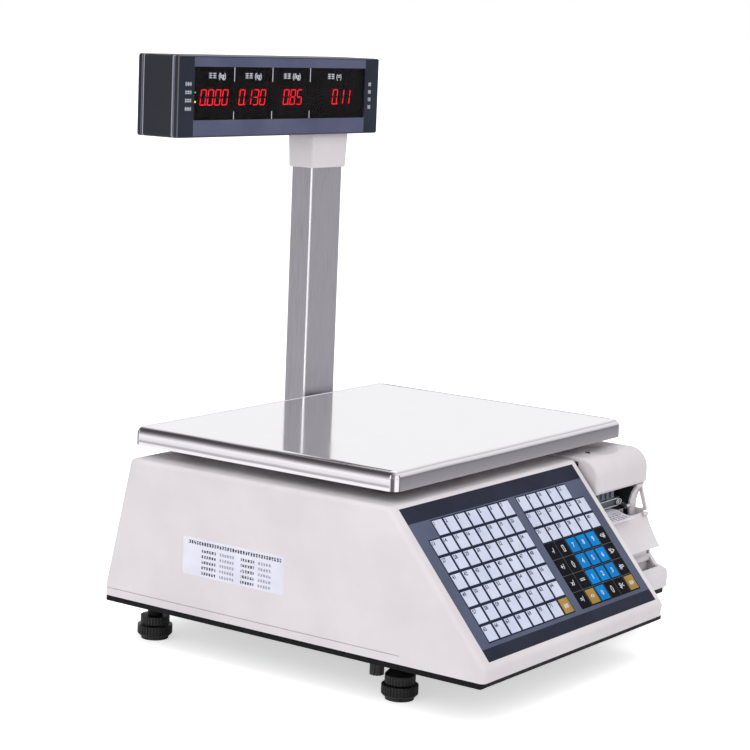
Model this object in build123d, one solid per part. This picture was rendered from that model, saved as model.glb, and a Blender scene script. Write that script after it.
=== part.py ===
from build123d import *
from math import atan2, cos, pi, radians, sin, tan
import os

# Label printing scale. Millimetres, +Z up, operator side at -Y, printer side at +X.
# The origin is the centre of the bounding box in plan, on the surface the scale stands on.

# ---- driving dimensions ----
total_width = 398.0
total_depth = 441.0
wall = 2.8
body_width = 299.0
body_top = 169.0
tray_bottom = 33.5
tray_top = 38.3
tray_floor = 2.5
tray_corner = 4.5
lip_lift = 1.7
slope_angle = 49.4
slope_foot_z = 50.0
back_depth = 414.5
nose_loss = 0.29
back_lean = 27.0
printer_setback = 52.0
module_gap = 3.5
drawer_rear = 58.0
drawer_gap = 2.5

overlay_width = 279.5
overlay_length = 146.6
overlay_margin = 10.6
overlay_drop = 4.0
overlay_thick = 0.6

platter_width = 380.6
platter_depth = 291.0
platter_top = 195.3
platter_lip = 17.2
platter_sheet = 1.0
platter_x = 7.5
platter_y = 32.1

post_width = 50.0
post_depth = 25.6
post_wall = 1.5
post_x = 103.5
post_foot = 60.0
head_width = 308.5
head_depth = 48.0
head_height = 74.4
head_x = 14.7
head_bottom = 453.5
collar_bottom = 420.0

foot_inset = 27.0
front_foot_inset = 102.0
rear_foot_y = 155.3
stud_r = 4.0
run_clear = 0.05
wheel_r = 15.9
ring_r = 13.2
ring_bottom = 13.8
ring_top = 21.3

cover_bottom = 137.5
cover_top = 170.5
cover_front = -143.5
cover_arc = 19.0
skin = 2.5

# ---- derived places ----
left = -total_width / 2
right = total_width / 2
front = -total_depth / 2 - nose_loss
rear = total_depth / 2
body_right = left + body_width
body_back = front + back_depth
slope = radians(slope_angle)
slope_top_y = front + (body_top - slope_foot_z) / tan(slope)
printer_front = front + printer_setback
drawer_left = body_right + module_gap
head_y = rear - head_depth / 2
head_left = head_x - head_width / 2
head_top = head_bottom + head_height
foot_left = left + foot_inset
foot_right = right - foot_inset

os.makedirs("parts", exist_ok=True)
written = []


def save(name, *solids):
    """Write one node, as one solid or as a group of separate solids."""
    shape = solids[0] if len(solids) == 1 else Compound(children=list(solids))
    shape.label = name
    export_step(shape, f"parts/{name}.step")
    written.append(name)


def block(x0, x1, y0, y1, z0, z1):
    size = Box(x1 - x0, y1 - y0, z1 - z0)
    return Pos((x0 + x1) / 2, (y0 + y1) / 2, (z0 + z1) / 2) * size


def soft_block(x0, x1, y0, y1, z0, z1, radius):
    """A block whose upright edges are rounded."""
    solid = block(x0, x1, y0, y1, z0, z1)
    return fillet(solid.edges().filter_by(Axis.Z), radius)


def rod_z(radius, x, y, z0, z1):
    return Pos(x, y, (z0 + z1) / 2) * Cylinder(radius, z1 - z0)


def rod_x(radius, x0, x1, y, z):
    return Pos((x0 + x1) / 2, y, z) * Rot(0, 90, 0) * Cylinder(radius, x1 - x0)


def rod_y(radius, x, y0, y1, z):
    return Pos(x, (y0 + y1) / 2, z) * Rot(90, 0, 0) * Cylinder(radius, y1 - y0)


def cone_z(r0, r1, x, y, z0, z1):
    return Pos(x, y, (z0 + z1) / 2) * Cone(r0, r1, z1 - z0)


def side_prism(points, x0, x1):
    """Push an outline of (y, z) points along X."""
    face = make_face(Polyline(*points, close=True))
    return extrude(Plane.YZ.offset(x0) * face, amount=x1 - x0)


def bent_sheet(points, thick, x0, x1):
    """A sheet that follows (y, z) points, of even thickness, pushed along X."""
    other = []
    for i, (y, z) in enumerate(points):
        before = points[max(i - 1, 0)]
        after = points[min(i + 1, len(points) - 1)]
        angle = atan2(after[1] - before[1], after[0] - before[0])
        other.append((y - thick * sin(angle), z + thick * cos(angle)))
    return side_prism(list(points) + other[::-1], x0, x1)


def body_profile(inset, front_limit=None):
    """Side outline of the housing, drawn in by inset; front_limit cuts it off square."""
    run = sin(slope)
    z_low = slope_foot_z
    shift = inset / run
    top = body_top - inset
    foot = front + inset
    y_slope_low = foot
    z_slope_low = z_low + (foot - front - shift) * tan(slope)
    y_slope_top = front + shift + (top - z_low) / tan(slope)
    lean = back_lean / (body_top - slope_foot_z)
    back_low = body_back - inset
    back_high = back_low - lean * (top - z_low)
    if front_limit is None:
        nose = [(foot + 1.8, tray_top), (y_slope_low, z_slope_low), (y_slope_top, top)]
    else:
        nose = [(front_limit, tray_top), (front_limit, top)]
    return nose + [(back_high, top), (back_low, z_low), (back_low, tray_top)]


def rounded_prism(points, x0, x1, radius):
    """A side prism with its X-running edges above the base rounded."""
    solid = side_prism(points, x0, x1)
    edges = [e for e in solid.edges().filter_by(Axis.X) if e.center().Z > tray_top + 1]
    return fillet(edges, radius)


def edges_at_x(solid, x):
    found = []
    for e in solid.edges():
        box = e.bounding_box()
        flat = abs(box.min.X - x) < 0.01 and abs(box.max.X - x) < 0.01
        if flat and box.max.Z > tray_top + 0.5:
            found.append(e)
    return found


# ---- keyboard plane: X to the right, Y up the slope, Z out of the surface ----
key_origin = (left + overlay_margin,
              slope_top_y - overlay_drop * cos(slope),
              body_top - overlay_drop * sin(slope))
key_plane = Plane(origin=key_origin, x_dir=(1, 0, 0), z_dir=(0, -sin(slope), cos(slope)))


def pad(x0, x1, down0, down1, z0, z1):
    """A block on the keyboard plane, placed by distance from its top left corner."""
    size = Box(x1 - x0, down1 - down0, z1 - z0)
    return key_plane * Pos((x0 + x1) / 2, -(down0 + down1) / 2, (z0 + z1) / 2) * size


# ---- feet places: name, x, y, and whether the boss above is the wide cone ----
feet = [
    ("front_left", foot_left, front + front_foot_inset, True),
    ("front_right", foot_right, printer_front + front_foot_inset, True),
    ("rear_left", foot_left, rear_foot_y, False),
    ("rear_right", foot_right, rear_foot_y, False),
]
boss_r = 6.8
cone_r = 13.0
boss_bottom = 21.6

# ---- upper housing ----
label_y0, label_y1 = -11.8, 101.5
label_z0, label_z1 = 74.7, 108.9
port_x0, port_x1 = left + 39, left + 129
port_z0, port_z1 = 58.0, 104.0
column_x0, column_x1 = 38.0, 68.0
column_half = 15.0
socket_x0 = post_x - post_width / 2 - 3.5
socket_x1 = post_x + post_width / 2 + 3.5
socket_front = 160.0
socket_rear = head_y + post_depth / 2 + 4.0
socket_top = 171.5
step_z, step_wide, step_deep = 45.3, 0.6, 0.4
side_round, inner_round = 4.5, 3.2
boss_places = [(left + 8, -150), (left + 8, 60), (left + 8, 172),
               (body_right - 8, -150), (body_right - 8, -20), (right - 8, 120)]


def make_housing():
    block_front = drawer_rear + drawer_gap
    main = rounded_prism(body_profile(0), left, body_right, 5.0)
    main = fillet(edges_at_x(main, left), side_round)
    main = fillet(edges_at_x(main, body_right), inner_round)
    wing = rounded_prism(body_profile(0, block_front), body_right - 20, right, 5.0)
    wing = fillet(edges_at_x(wing, right), side_round)
    solid = main + wing
    solid -= side_prism(body_profile(wall), left + wall, body_right - wall)
    hollow = body_profile(wall, block_front + wall)
    solid -= side_prism(hollow, body_right - wall - 5, right - wall)
    # shallow pocket that takes the keyboard overlay, with a slot for its ribbon
    solid -= pad(-0.2, overlay_width + 0.2, -0.2, overlay_length + 0.2, -overlay_thick, 3)
    solid -= pad(120, 160, 138, 142, -8, 0)
    # way through for the load column, with a splash rim round it
    rim = soft_block(column_x0 - 7, column_x1 + 7, platter_y - 22, platter_y + 22,
                     body_top - 1, body_top + 2.5, 6)
    hole = soft_block(column_x0 - 4.5, column_x1 + 4.5, platter_y - 19.5, platter_y + 19.5,
                      body_top - 10, body_top + 5, 4)
    solid = solid + rim - hole
    # opening for the sockets, and the notch that the post socket fills
    solid -= block(port_x0, port_x1, 150, rear, port_z0, port_z1)
    solid -= block(socket_x0, socket_x1, socket_front, rear, tray_top - 1, body_top + 5)
    # shallow pocket for the rating label
    solid -= block(left - 1, left + 0.2, label_y0, label_y1, label_z0, label_z1)
    # fine step line along both outer sides, near the base
    solid -= block(left - 1, left + step_deep, slope_top_y - 16, 192, step_z, step_z + step_wide)
    solid -= block(right - step_deep, right + 1, 70, 192, step_z, step_z + step_wide)
    # screw bosses against the walls
    for x, y in boss_places:
        side = -1 if x < 0 else 1
        reach = left + 1.5 if x < 0 else (body_right if x < body_right else right) - 1.5
        web = block(min(x, reach), max(x, reach), y - 2, y + 2, tray_top, 62)
        solid += rod_z(4.2, x, y, tray_top, 62) + web
        solid -= rod_z(1.6, x, y, tray_top - 1, 58)
    return solid


# ---- base tray ----
service_x0, service_x1 = left + 25, left + 110
service_y0, service_y1 = 13.5, 93.5
service_bottom = 25.0
lock_x, lock_y = left + 15, front + 118.0


def tray_plan(inset, z0, z1):
    """The tray's outline, stepped back at the printer, between two heights."""
    back = body_back - inset
    setback = printer_front + inset
    main = soft_block(left + inset, body_right + 30 - inset, front + 2 + inset, back, z0, z1, tray_corner)
    main -= block(body_right - inset, right + 50, front - 10, setback, z0 - 1, z1 + 1)
    wing = soft_block(body_right - 60, right - inset, setback, back, z0, z1, tray_corner)
    return main + wing


def make_tray():
    solid = tray_plan(0, tray_bottom, tray_top) - tray_plan(3, tray_bottom - 1, tray_top - tray_floor)
    ceiling = tray_top - tray_floor
    # the lip is undercut along the front
    toe = tray_bottom + lip_lift
    solid -= side_prism([(front - 1, tray_bottom - 1), (front + 6, tray_bottom - 1), (front + 2, toe),
                         (front - 1, toe)], left - 1, body_right + 1)
    # stiffening ribs under the floor
    for y in (-170, -20, 120):
        solid += block(left + 2, body_right - 4, y - 1, y + 1, tray_bottom + 0.5, ceiling)
    for x in (-60, 40):
        solid += block(x - 1, x + 1, front + 4, body_back - 2, tray_bottom + 0.5, ceiling)
    # upright rim that the housing drops over
    for y0, y1 in ((-140, 50), (70, 150)):
        solid += block(left + wall + 0.4, left + wall + 2.4, y0, y1, tray_top, tray_top + 6)
    solid += block(-185, 85, front + wall + 2.6, front + wall + 4.6, tray_top, tray_top + 6)
    for name, x, y, wide in feet:
        solid += rod_z(boss_r, x, y, boss_bottom, tray_top)
        if wide:
            solid += cone_z(cone_r, boss_r + 0.6, x, y, boss_bottom, boss_bottom + 5.6)
        solid -= rod_z(stud_r + run_clear, x, y, 0, tray_top + 1)
    # service opening, and holes for the screws
    solid -= block(service_x0 + 4, service_x1 - 4, service_y0 + 4, service_y1 - 4, 20, tray_top + 1)
    solid -= rod_z(3.2, lock_x, lock_y, 0, tray_top + 1)
    for x, y in boss_places:
        solid -= rod_z(1.6, x, y, 0, tray_top + 1)
        solid -= rod_z(3.8, x, y, 0, ceiling)
    for x, y in service_screws:
        solid -= rod_z(1.6, x, y, 0, tray_top + 1)
        solid -= rod_z(3.8, x, y, 0, ceiling)
    solid -= block(service_x0 - 4.5, service_x1 + 4.5, service_y0 - 4.5, service_y1 + 4.5, 20, ceiling)
    return solid


service_screws = [(x, y) for x in (service_x0 - 0.5, service_x1 + 0.5)
                  for y in (service_y0 + 15, service_y1 - 15)]


def make_service_cover():
    ceiling = tray_top - tray_floor
    solid = block(service_x0 - 4, service_x1 + 4, service_y0 - 4, service_y1 + 4, ceiling - 2, ceiling)
    dish = soft_block(service_x0 + 3, service_x1 - 3, service_y0, service_y1, service_bottom, ceiling - 1, 5)
    dish = fillet(dish.faces().sort_by(Axis.Z)[0].edges(), 2.5)
    solid += dish
    solid -= soft_block(service_x0 + 5, service_x1 - 5, service_y0 + 2, service_y1 - 2,
                        service_bottom + 2, ceiling + 1, 3)
    for x, y in service_screws:
        solid -= rod_z(1.6, x, y, 0, 60)
    return solid


def screw_up(x, y, head_z, tip_z, head_r=3.0, shank_r=1.5):
    """A pan-head screw driven upwards: its head hangs below head_z."""
    solid = rod_z(head_r, x, y, head_z - 1.6, head_z) + rod_z(shank_r, x, y, head_z, tip_z)
    return solid - block(x - 0.4, x + 0.4, y - 2, y + 2, head_z - 2, head_z - 1)


save("upper_housing", make_housing())
save("base_tray", make_tray())
save("service_cover", make_service_cover())
under_floor = tray_top - tray_floor
screws = [screw_up(x, y, under_floor, 57) for x, y in boss_places]
screws += [screw_up(x, y, under_floor - 2, 44) for x, y in service_screws]
save("base_screws", *screws)


# ---- transport lock screw beside the front left foot ----
def ribbed_disc(radius, depth, teeth, x, y, z0, z1):
    """A disc with straight ribs round its rim."""
    points = []
    for i in range(teeth):
        for share, r in ((0.0, radius), (0.45, radius), (0.6, radius - depth), (0.85, radius - depth)):
            a = 2 * pi * (i + share) / teeth
            points.append((x + r * cos(a), y + r * sin(a)))
    face = make_face(Polyline(*points, close=True))
    return extrude(Plane.XY.offset(z0) * face, amount=z1 - z0)


lock = ribbed_disc(6.2, 0.7, 12, lock_x, lock_y, 20.6, 31.5)
lock += rod_z(7.0, lock_x, lock_y, 31.5, tray_top - tray_floor)
lock += rod_z(3.0, lock_x, lock_y, tray_top - tray_floor, 46)
save("transport_screw", lock)


# ---- levelling feet: rubber sole, knurled wheel on its stud, knurled lock ring ----
for name, x, y, wide in feet:
    sole = rod_z(12.4, x, y, 0, 2.2) + rod_z(5.0, x, y, 2.2, 3.4)
    save(f"foot_sole_{name}", sole)
    wheel = ribbed_disc(wheel_r, 0.9, 36, x, y, 2.5, 12.8)
    wheel &= cone_z(wheel_r - 2.4, wheel_r + 0.4, x, y, 2.5, 5.5) + rod_z(wheel_r + 0.4, x, y, 5.5, 12.8)
    wheel -= rod_z(5.1, x, y, 2, 3.7)
    wheel += rod_z(stud_r, x, y, 12.8, 37.4)
    save(f"foot_wheel_{name}", wheel)
    ring = ribbed_disc(ring_r, 0.8, 30, x, y, ring_bottom, ring_top)
    ring -= rod_z(stud_r + run_clear, x, y, 0, 40)
    save(f"lock_ring_{name}", ring)


# ---- keyboard ----
save("keyboard_overlay", pad(0, overlay_width, 0, overlay_length, -overlay_thick, 0))
row_top, row_pitch = 17.3, 16.6
key_width, key_height = 14.2, 13.9
blocks = [(15.1, 17.4, [".WWWWWWW"] + 5 * ["WWWWWWWW"] + ["WWWWWWWG"]),
          (165.1, 17.3, ["WWWWW.", "WWWWWW", "WWWWWW", "KKBBBK", "KKBBBK", "KKBBBK", "KGBKKG"])]
key_names = {"W": "keys_white", "B": "keys_blue", "K": "keys_black", "G": "keys_gold"}
key_rise = 0.3
keys = {letter: [] for letter in key_names}
for first, pitch, rows in blocks:
    for r, row in enumerate(rows):
        for c, letter in enumerate(row):
            if letter == ".":
                continue
            x0 = first + c * pitch
            y0 = row_top + r * row_pitch
            keys[letter].append(pad(x0, x0 + key_width, y0, y0 + key_height, 0, key_rise))
for letter, name in key_names.items():
    save(name, *keys[letter])

# ---- boards and power supply inside ----
board_thick = 1.6
board_x0, board_x1, board_y0, board_y1, board_z = -150.0, -72.0, -70.0, -4.0, 52.0
chip_size, chip_pitch, chip_rise, stand_inset, stand_r = 14.0, 22.0, 2.4, 4.0, 3.0
key_board = pad(8, overlay_width - 8, 8, overlay_length - 14, -wall - 4 - board_thick, -wall - 4)
main_board = block(board_x0, board_x1, board_y0, board_y1, board_z, board_z + board_thick)
for i in range(3):
    x0, y0, z0 = board_x0 + 10 + chip_pitch * i, board_y0 + 24, board_z + board_thick
    main_board += block(x0, x0 + chip_size, y0, y0 + chip_size, z0, z0 + chip_rise)
for x in (board_x0 + stand_inset, board_x1 - stand_inset):
    for y in (board_y0 + stand_inset, board_y1 - stand_inset):
        main_board += rod_z(stand_r, x, y, tray_top, board_z)
head_boards = []
for side in (-1, 1):
    face = head_y + side * head_depth / 2
    y0, y1 = sorted((face - side * 8.6, face - side * (8.6 + board_thick)))
    head_boards.append(block(head_left + 26, head_left + head_width - 26, y0, y1,
                             head_bottom + 18, head_top - 12))
save("circuit_boards", key_board, main_board, *head_boards)
can_x0, can_x1, can_y0, can_y1, can_z0, can_z1, can_wall = -178.0, -90.0, 104.0, 150.0, 42.0, 80.0, 2.0
can_floor = can_z0 + can_wall
supply = block(can_x0, can_x1, can_y0, can_y1, can_z0, can_z1)
supply -= block(can_x0 + can_wall, can_x1 - can_wall, can_y0 + can_wall, can_y1 - can_wall,
                can_floor, can_z1 + can_wall)
# board, coil and two feet
supply += block(can_x0 + 8, can_x1 - 10, can_y0 + 6, can_y1 - 6, can_floor, can_floor + 2)
supply += block(can_x0 + 13, can_x0 + 38, can_y0 + 10, can_y1 - 10, can_floor + 2, can_z1 - 10)
supply += block(can_x0 + 2, can_x0 + 6, can_y0 + 2, can_y0 + 6, tray_top, can_floor)
supply += block(can_x1 - 6, can_x1 - 2, can_y1 - 6, can_y1 - 2, tray_top, can_floor)
save("power_supply", supply)

# ---- load cell on its pedestal ----
cell_z0, cell_z1 = 100.0, 124.0
cell_x0, cell_x1 = -62.0, 68.0
cell = block(cell_x0, cell_x1, platter_y - 15, platter_y + 15, cell_z0, cell_z1)
middle = (cell_x0 + cell_x1) / 2
for dx in (-13, 13):
    cell -= rod_y(8.4, middle + dx, 0, 90, (cell_z0 + cell_z1) / 2)
cell -= block(middle - 13, middle + 13, 0, 90, (cell_z0 + cell_z1) / 2 - 3, (cell_z0 + cell_z1) / 2 + 3)
save("load_cell", cell)
cell_half = 15.0
flange_top, flange_reach, flange_half = 44.0, 18.0, 30.0
stem_x0, stem_x1, web_top, web_thick = cell_x0, cell_x0 + 30.0, 90.0, 4.0
web_x0 = stem_x0 + 13.0
pedestal = block(stem_x0, stem_x1, platter_y - cell_half, platter_y + cell_half, flange_top, cell_z0)
pedestal += block(stem_x0 - flange_reach, stem_x1 + flange_reach, platter_y - flange_half,
                  platter_y + flange_half, tray_top, flange_top)
pedestal += side_prism([(platter_y - flange_half + 2, flange_top), (platter_y + flange_half - 2, flange_top),
                        (platter_y + cell_half, web_top), (platter_y - cell_half, web_top)],
                       web_x0, web_x0 + web_thick)
save("cell_pedestal", pedestal)

# ---- spider and pads under the platter ----
arm_x, arm_y = 150.0, 112.0
spider_z0, spider_z1, pad_seat_z = 174.0, 182.0, 186.0
arm_half, arm_thick, rib_half, rib_z0, rib_z1 = 9.0, 3.0, 1.5, 176.0, 184.0
seat_r, pad_r = 14.0, 11.0
spider = block(platter_x - 62, platter_x + 76, platter_y - 36, platter_y + 36, spider_z0, spider_z1)
spider -= block(platter_x - 40, platter_x + 14, platter_y - 24, platter_y + 24, spider_z0 + 2, spider_z1 + 8)
spider += block(column_x0, column_x1, platter_y - column_half, platter_y + column_half, cell_z1, spider_z0)
reach = (arm_x ** 2 + arm_y ** 2) ** 0.5
for sx in (-1, 1):
    for sy in (-1, 1):
        turn = atan2(sy * arm_y, sx * arm_x) * 180 / pi
        way = Pos(platter_x, platter_y, 0) * Rot(0, 0, turn)
        spider += way * block(30, reach, -arm_half, arm_half, spider_z0, spider_z0 + arm_thick)
        spider += way * block(45, reach, -rib_half, rib_half, rib_z0, rib_z1)
        spider += rod_z(seat_r, platter_x + sx * arm_x, platter_y + sy * arm_y, spider_z0, pad_seat_z)
save("spider", spider)
pads = []
pad_top = platter_top - platter_sheet
for sx in (-1, 1):
    for sy in (-1, 1):
        x, y = platter_x + sx * arm_x, platter_y + sy * arm_y
        pads.append(rod_z(pad_r, x, y, pad_seat_z, pad_top))
save("spider_pads", *pads)


# ---- platter ----
def pan(inset, z0, z1, corner, bend):
    solid = soft_block(platter_x - platter_width / 2 + inset, platter_x + platter_width / 2 - inset,
                       platter_y - platter_depth / 2 + inset, platter_y + platter_depth / 2 - inset,
                       z0, z1, corner)
    return fillet(solid.faces().sort_by(Axis.Z)[-1].edges(), bend)


lip_bottom = platter_top - platter_lip
pan_corner, pan_bend = 8.6, 7.4
border, border_step = 8.6, 0.3
platter = pan(0, lip_bottom, platter_top, pan_corner, pan_bend)
platter -= pan(platter_sheet, lip_bottom - 5, platter_top - platter_sheet,
               pan_corner - platter_sheet, pan_bend - platter_sheet)
# the middle is pressed down a little inside a raised border
dish = soft_block(platter_x - platter_width / 2 + border, platter_x + platter_width / 2 - border,
                  platter_y - platter_depth / 2 + border, platter_y + platter_depth / 2 - border,
                  platter_top - border_step, platter_top + 1, 3.0)
platter -= dish
save("platter", platter)

# ---- post, its socket and its collar ----
post_x0, post_x1 = post_x - post_width / 2, post_x + post_width / 2
post_y0, post_y1 = head_y - post_depth / 2, head_y + post_depth / 2
post_top = head_bottom + 14
post = soft_block(post_x0, post_x1, post_y0, post_y1, post_foot, post_top, 2.2)
post -= soft_block(post_x0 + post_wall, post_x1 - post_wall, post_y0 + post_wall,
                   post_y1 - post_wall, post_foot - 1, post_top + 1, 0.9)
save("post", post)
socket = soft_block(socket_x0 + 0.3, socket_x1 - 0.3, socket_front + 3, socket_rear, tray_top, socket_top, 3)
socket -= soft_block(post_x0 - run_clear, post_x1 + run_clear, post_y0 - run_clear,
                     post_y1 + run_clear, post_foot, socket_top + 1, 2.2)
socket -= block(socket_x0 + 3.3, socket_x1 - 3.3, socket_front + 6, post_y0 - 3, 44, 160)
save("post_socket", socket)
lower = Plane.XY.offset(collar_bottom) * Pos(post_x, head_y) * RectangleRounded(54.6, 31.0, 3)
upper = Plane.XY.offset(head_bottom) * Pos(post_x, head_y) * RectangleRounded(57.2, 33.0, 3)
collar = loft([lower, upper])
collar -= soft_block(post_x0 - run_clear, post_x1 + run_clear, post_y0 - run_clear,
                     post_y1 + run_clear, collar_bottom - 1, head_bottom + 1, 2.2)
save("post_collar", collar)

# ---- display head ----
panel_rim = 1.2
panel_thick = 1.5
seam_from_face, seam_width, seam_depth = 5.0, 1.3, 1.2
window_side = 23.0
window_top, window_low = 10.0, 58.6
shell = block(head_left, head_left + head_width, head_y - head_depth / 2, head_y + head_depth / 2,
              head_bottom, head_top)
shell = fillet(shell.edges().filter_by(Axis.Y), 2.6)
shell = fillet(shell.faces().sort_by(Axis.Y)[0].edges(), 0.8)
shell = fillet(shell.faces().sort_by(Axis.Y)[-1].edges(), 0.8)
for side in (-1, 1):
    face = head_y + side * head_depth / 2
    y0, y1 = sorted((face + side, face - side * (panel_thick + 0.2)))
    shell -= block(head_left + panel_rim, head_left + head_width - panel_rim, y0, y1,
                   head_bottom + panel_rim, head_top - panel_rim)
    # seam between the bezel and the middle of the case
    y0, y1 = sorted((face - side * seam_from_face, face - side * (seam_from_face + seam_width)))
    ring = block(head_left - 1, head_left + head_width + 1, y0, y1, head_bottom - 1, head_top + 1)
    ring -= block(head_left + seam_depth, head_left + head_width - seam_depth, y0 - 1, y1 + 1,
                  head_bottom + seam_depth, head_top - seam_depth)
    shell -= ring
shell -= block(head_left + 8, head_left + head_width - 8, head_y - head_depth / 2 - 1,
               head_y + head_depth / 2 + 1, head_bottom + 8, head_top - 6)
shell -= block(head_left + 3, head_left + head_width - 3, head_y - head_depth / 2 + 4,
               head_y + head_depth / 2 - 4, head_bottom + 3, head_top - 3)
shell -= soft_block(post_x0 - run_clear, post_x1 + run_clear, post_y0 - run_clear,
                    post_y1 + run_clear, head_bottom - 1, head_bottom + 10, 2.2)
save("display_shell", shell)

panels, windows = [], []
for side in (-1, 1):
    face = head_y + side * head_depth / 2
    y0, y1 = sorted((face - side * 0.2, face - side * (panel_thick + 0.2)))
    panel = block(head_left + panel_rim + 0.1, head_left + head_width - panel_rim - 0.1, y0, y1,
                  head_bottom + panel_rim + 0.1, head_top - panel_rim - 0.1)
    cut = (head_left + window_side, head_left + head_width - window_side, y0 - 1, y1 + 1,
           head_top - window_low, head_top - window_top)
    panels.append(panel - block(*cut))
    windows.append(block(cut[0], cut[1], y0 + 0.1, y1 - 0.1, cut[4], cut[5]))
save("display_panels", *panels)
save("display_windows", *windows)

# seven-segment figures: which bars are lit for each figure
lit_bars = {"0": "abcdef", "1": "bc", "3": "abcdg", "5": "acdfg", "8": "abcdefg"}
figure_h, figure_w, bar, lean_ratio = 14.8, 8.0, 1.45, 0.15
readings = [(33, "0.000"), (89, "0.130"), (156, "0.85"), (234, "0.11")]
figure_pitch = 10.4


def figure_bars(text, x_start, plane_at):
    """Solids for the lit bars of one reading, given a function that places (x, z) outlines."""
    half, mid = bar / 2 - 0.25, figure_h / 2
    ends = {"a": (0, figure_h, 1, figure_h), "g": (0, mid, 1, mid), "d": (0, 0, 1, 0),
            "f": (0, mid, 0, figure_h), "b": (1, mid, 1, figure_h),
            "e": (0, 0, 0, mid), "c": (1, 0, 1, mid)}
    solids, x = [], x_start
    for letter in text:
        if letter == ".":
            solids.append(plane_at([(x - 2.2, 0), (x - 0.9, 0), (x - 0.9, 1.4), (x - 2.2, 1.4)]))
            continue
        for name in lit_bars[letter]:
            u0, v0, u1, v1 = ends[name]
            u0, u1 = u0 * figure_w, u1 * figure_w
            if name in "agd":
                v = min(max(v0, half), figure_h - half)
                pts = [(u0 + 1.1, v - half), (u1 - 1.1, v - half), (u1 - 1.1, v + half), (u0 + 1.1, v + half)]
            else:
                u = min(max(u0, half), figure_w - half)
                pts = [(u - half, v0 + 0.8), (u + half, v0 + 0.8), (u + half, v1 - 0.8), (u - half, v1 - 0.8)]
            solids.append(plane_at([(x + a + b * lean_ratio, b) for a, b in pts]))
        x += figure_pitch
    return solids


figure_base = head_top - 45.4
figures = []
for side in (-1, 1):
    face = head_y + side * head_depth / 2
    near, far = face - side * 2.2, face - side * 2.5

    def place(points):
        flat = [(head_x - side * (-head_width / 2 + a), figure_base + b) for a, b in points]
        outline = make_face(Polyline(*flat, close=True))
        return extrude(Plane.XZ.offset(-max(near, far)) * outline, amount=abs(far - near))

    for x_start, text in readings:
        figures += figure_bars(text, x_start, place)
save("display_figures", *figures)

# ---- sockets at the back ----
panel_y = 176.0
port_panel = block(port_x0 - 5, port_x1 + 5, panel_y - 2, panel_y, port_z0 - 5, port_z1 + 5)
inlet_x, inlet_z = port_x0 + 20, 81.0
rocker_x = port_x0 + 48
data_x = port_x0 + 72
port_panel -= block(inlet_x - 13.5, inlet_x + 13.5, 170, 180, inlet_z - 10, inlet_z + 10)
port_panel -= block(rocker_x - 6.6, rocker_x + 6.6, 170, 180, inlet_z - 10.6, inlet_z + 10.6)
port_panel -= block(data_x - 8, data_x + 8, 170, 180, inlet_z + 2, inlet_z + 15)
port_panel -= block(data_x - 15.5 / 2, data_x + 15.5 / 2, 170, 180, inlet_z - 15, inlet_z - 3)
save("port_panel", port_panel)
inlet = block(inlet_x - 13.4, inlet_x + 13.4, 156, panel_y, inlet_z - 9.9, inlet_z + 9.9)
inlet += soft_block(inlet_x - 17, inlet_x + 17, panel_y, panel_y + 2.2, inlet_z - 12.5, inlet_z + 12.5, 1)
inlet -= block(inlet_x - 11.5, inlet_x + 11.5, 162, 190, inlet_z - 7.5, inlet_z + 7.5)
for dx, dz in ((-7, -2), (7, -2), (0, 2)):
    inlet += block(inlet_x + dx - 2, inlet_x + dx + 2, 160, 172, inlet_z + dz - 1, inlet_z + dz + 1)
network = block(data_x - 7.9, data_x + 7.9, 160, panel_y + 0.8, inlet_z + 2.1, inlet_z + 14.9)
network -= block(data_x - 6, data_x + 6, 164, 190, inlet_z + 4, inlet_z + 12)
serial = block(data_x - 7.6, data_x + 7.6, 164, panel_y + 5, inlet_z - 14.9, inlet_z - 3.1)
serial -= block(data_x - 6.4, data_x + 6.4, 170, 190, inlet_z - 13.4, inlet_z - 4.6)
save("data_ports", network, serial)
rocker_pin_y, rocker_pin_r = panel_y - 1.0, 1.2
rocker_half_h, rocker_half_w, rocker_seat = 8.8, 4.6, panel_y - 3.5
rocker = side_prism([(rocker_seat, inlet_z - rocker_half_h), (panel_y + 2.0, inlet_z - rocker_half_h),
                     (panel_y + 1.2, inlet_z), (panel_y + 4.4, inlet_z + rocker_half_h - 0.6),
                     (rocker_seat, inlet_z + rocker_half_h)],
                    rocker_x - rocker_half_w, rocker_x + rocker_half_w)
rocker += rod_x(rocker_pin_r, rocker_x - 5.8, rocker_x + 5.8, rocker_pin_y, inlet_z)
save("power_rocker", rocker)
frame = block(rocker_x - 6.5, rocker_x + 6.5, 162, panel_y, inlet_z - 10.5, inlet_z + 10.5)
frame += block(rocker_x - 8.0, rocker_x + 8.0, panel_y, panel_y + 1.0, inlet_z - 12.0, inlet_z + 12.0)
frame -= block(rocker_x - 5.0, rocker_x + 5.0, 164, 190, inlet_z - 9.6, inlet_z + 9.6)
frame -= rod_x(rocker_pin_r + run_clear, rocker_x - 5.9, rocker_x + 5.9, rocker_pin_y, inlet_z)
save("inlet_module", inlet, frame)

# ---- rating label and level vial ----
save("rating_label", block(left, left + 0.2, label_y0, label_y1, label_z0, label_z1))
vial_x, vial_y = platter_x - 120, platter_y + 40
vial = rod_z(9, vial_x, vial_y, body_top, body_top + 4)
save("level_vial", vial)


# ---- printer module: slides out towards the operator on two rails ----
inner_left, inner_right = drawer_left + skin, right - skin
skirt = 39.0
floor_low, floor_high = 44.0, 46.5
hinge_y, hinge_z = -146.5, 72.5
rail_places = (drawer_left + 12, right - 12)
roll_y, roll_z, roll_r = -2.0, 100.0, 42.0
take_y, take_z = -98.0, 68.0
platen_y, platen_z, platen_r = -120.0, 104.5, 9.0
head_pivot_y, head_pivot_z = -98.0, 127.0
plate_left, plate_right = inner_left + 2.5, right - 13.0
plate_thick = 2.0
motor_y, motor_z = -79.0, 102.2

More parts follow.
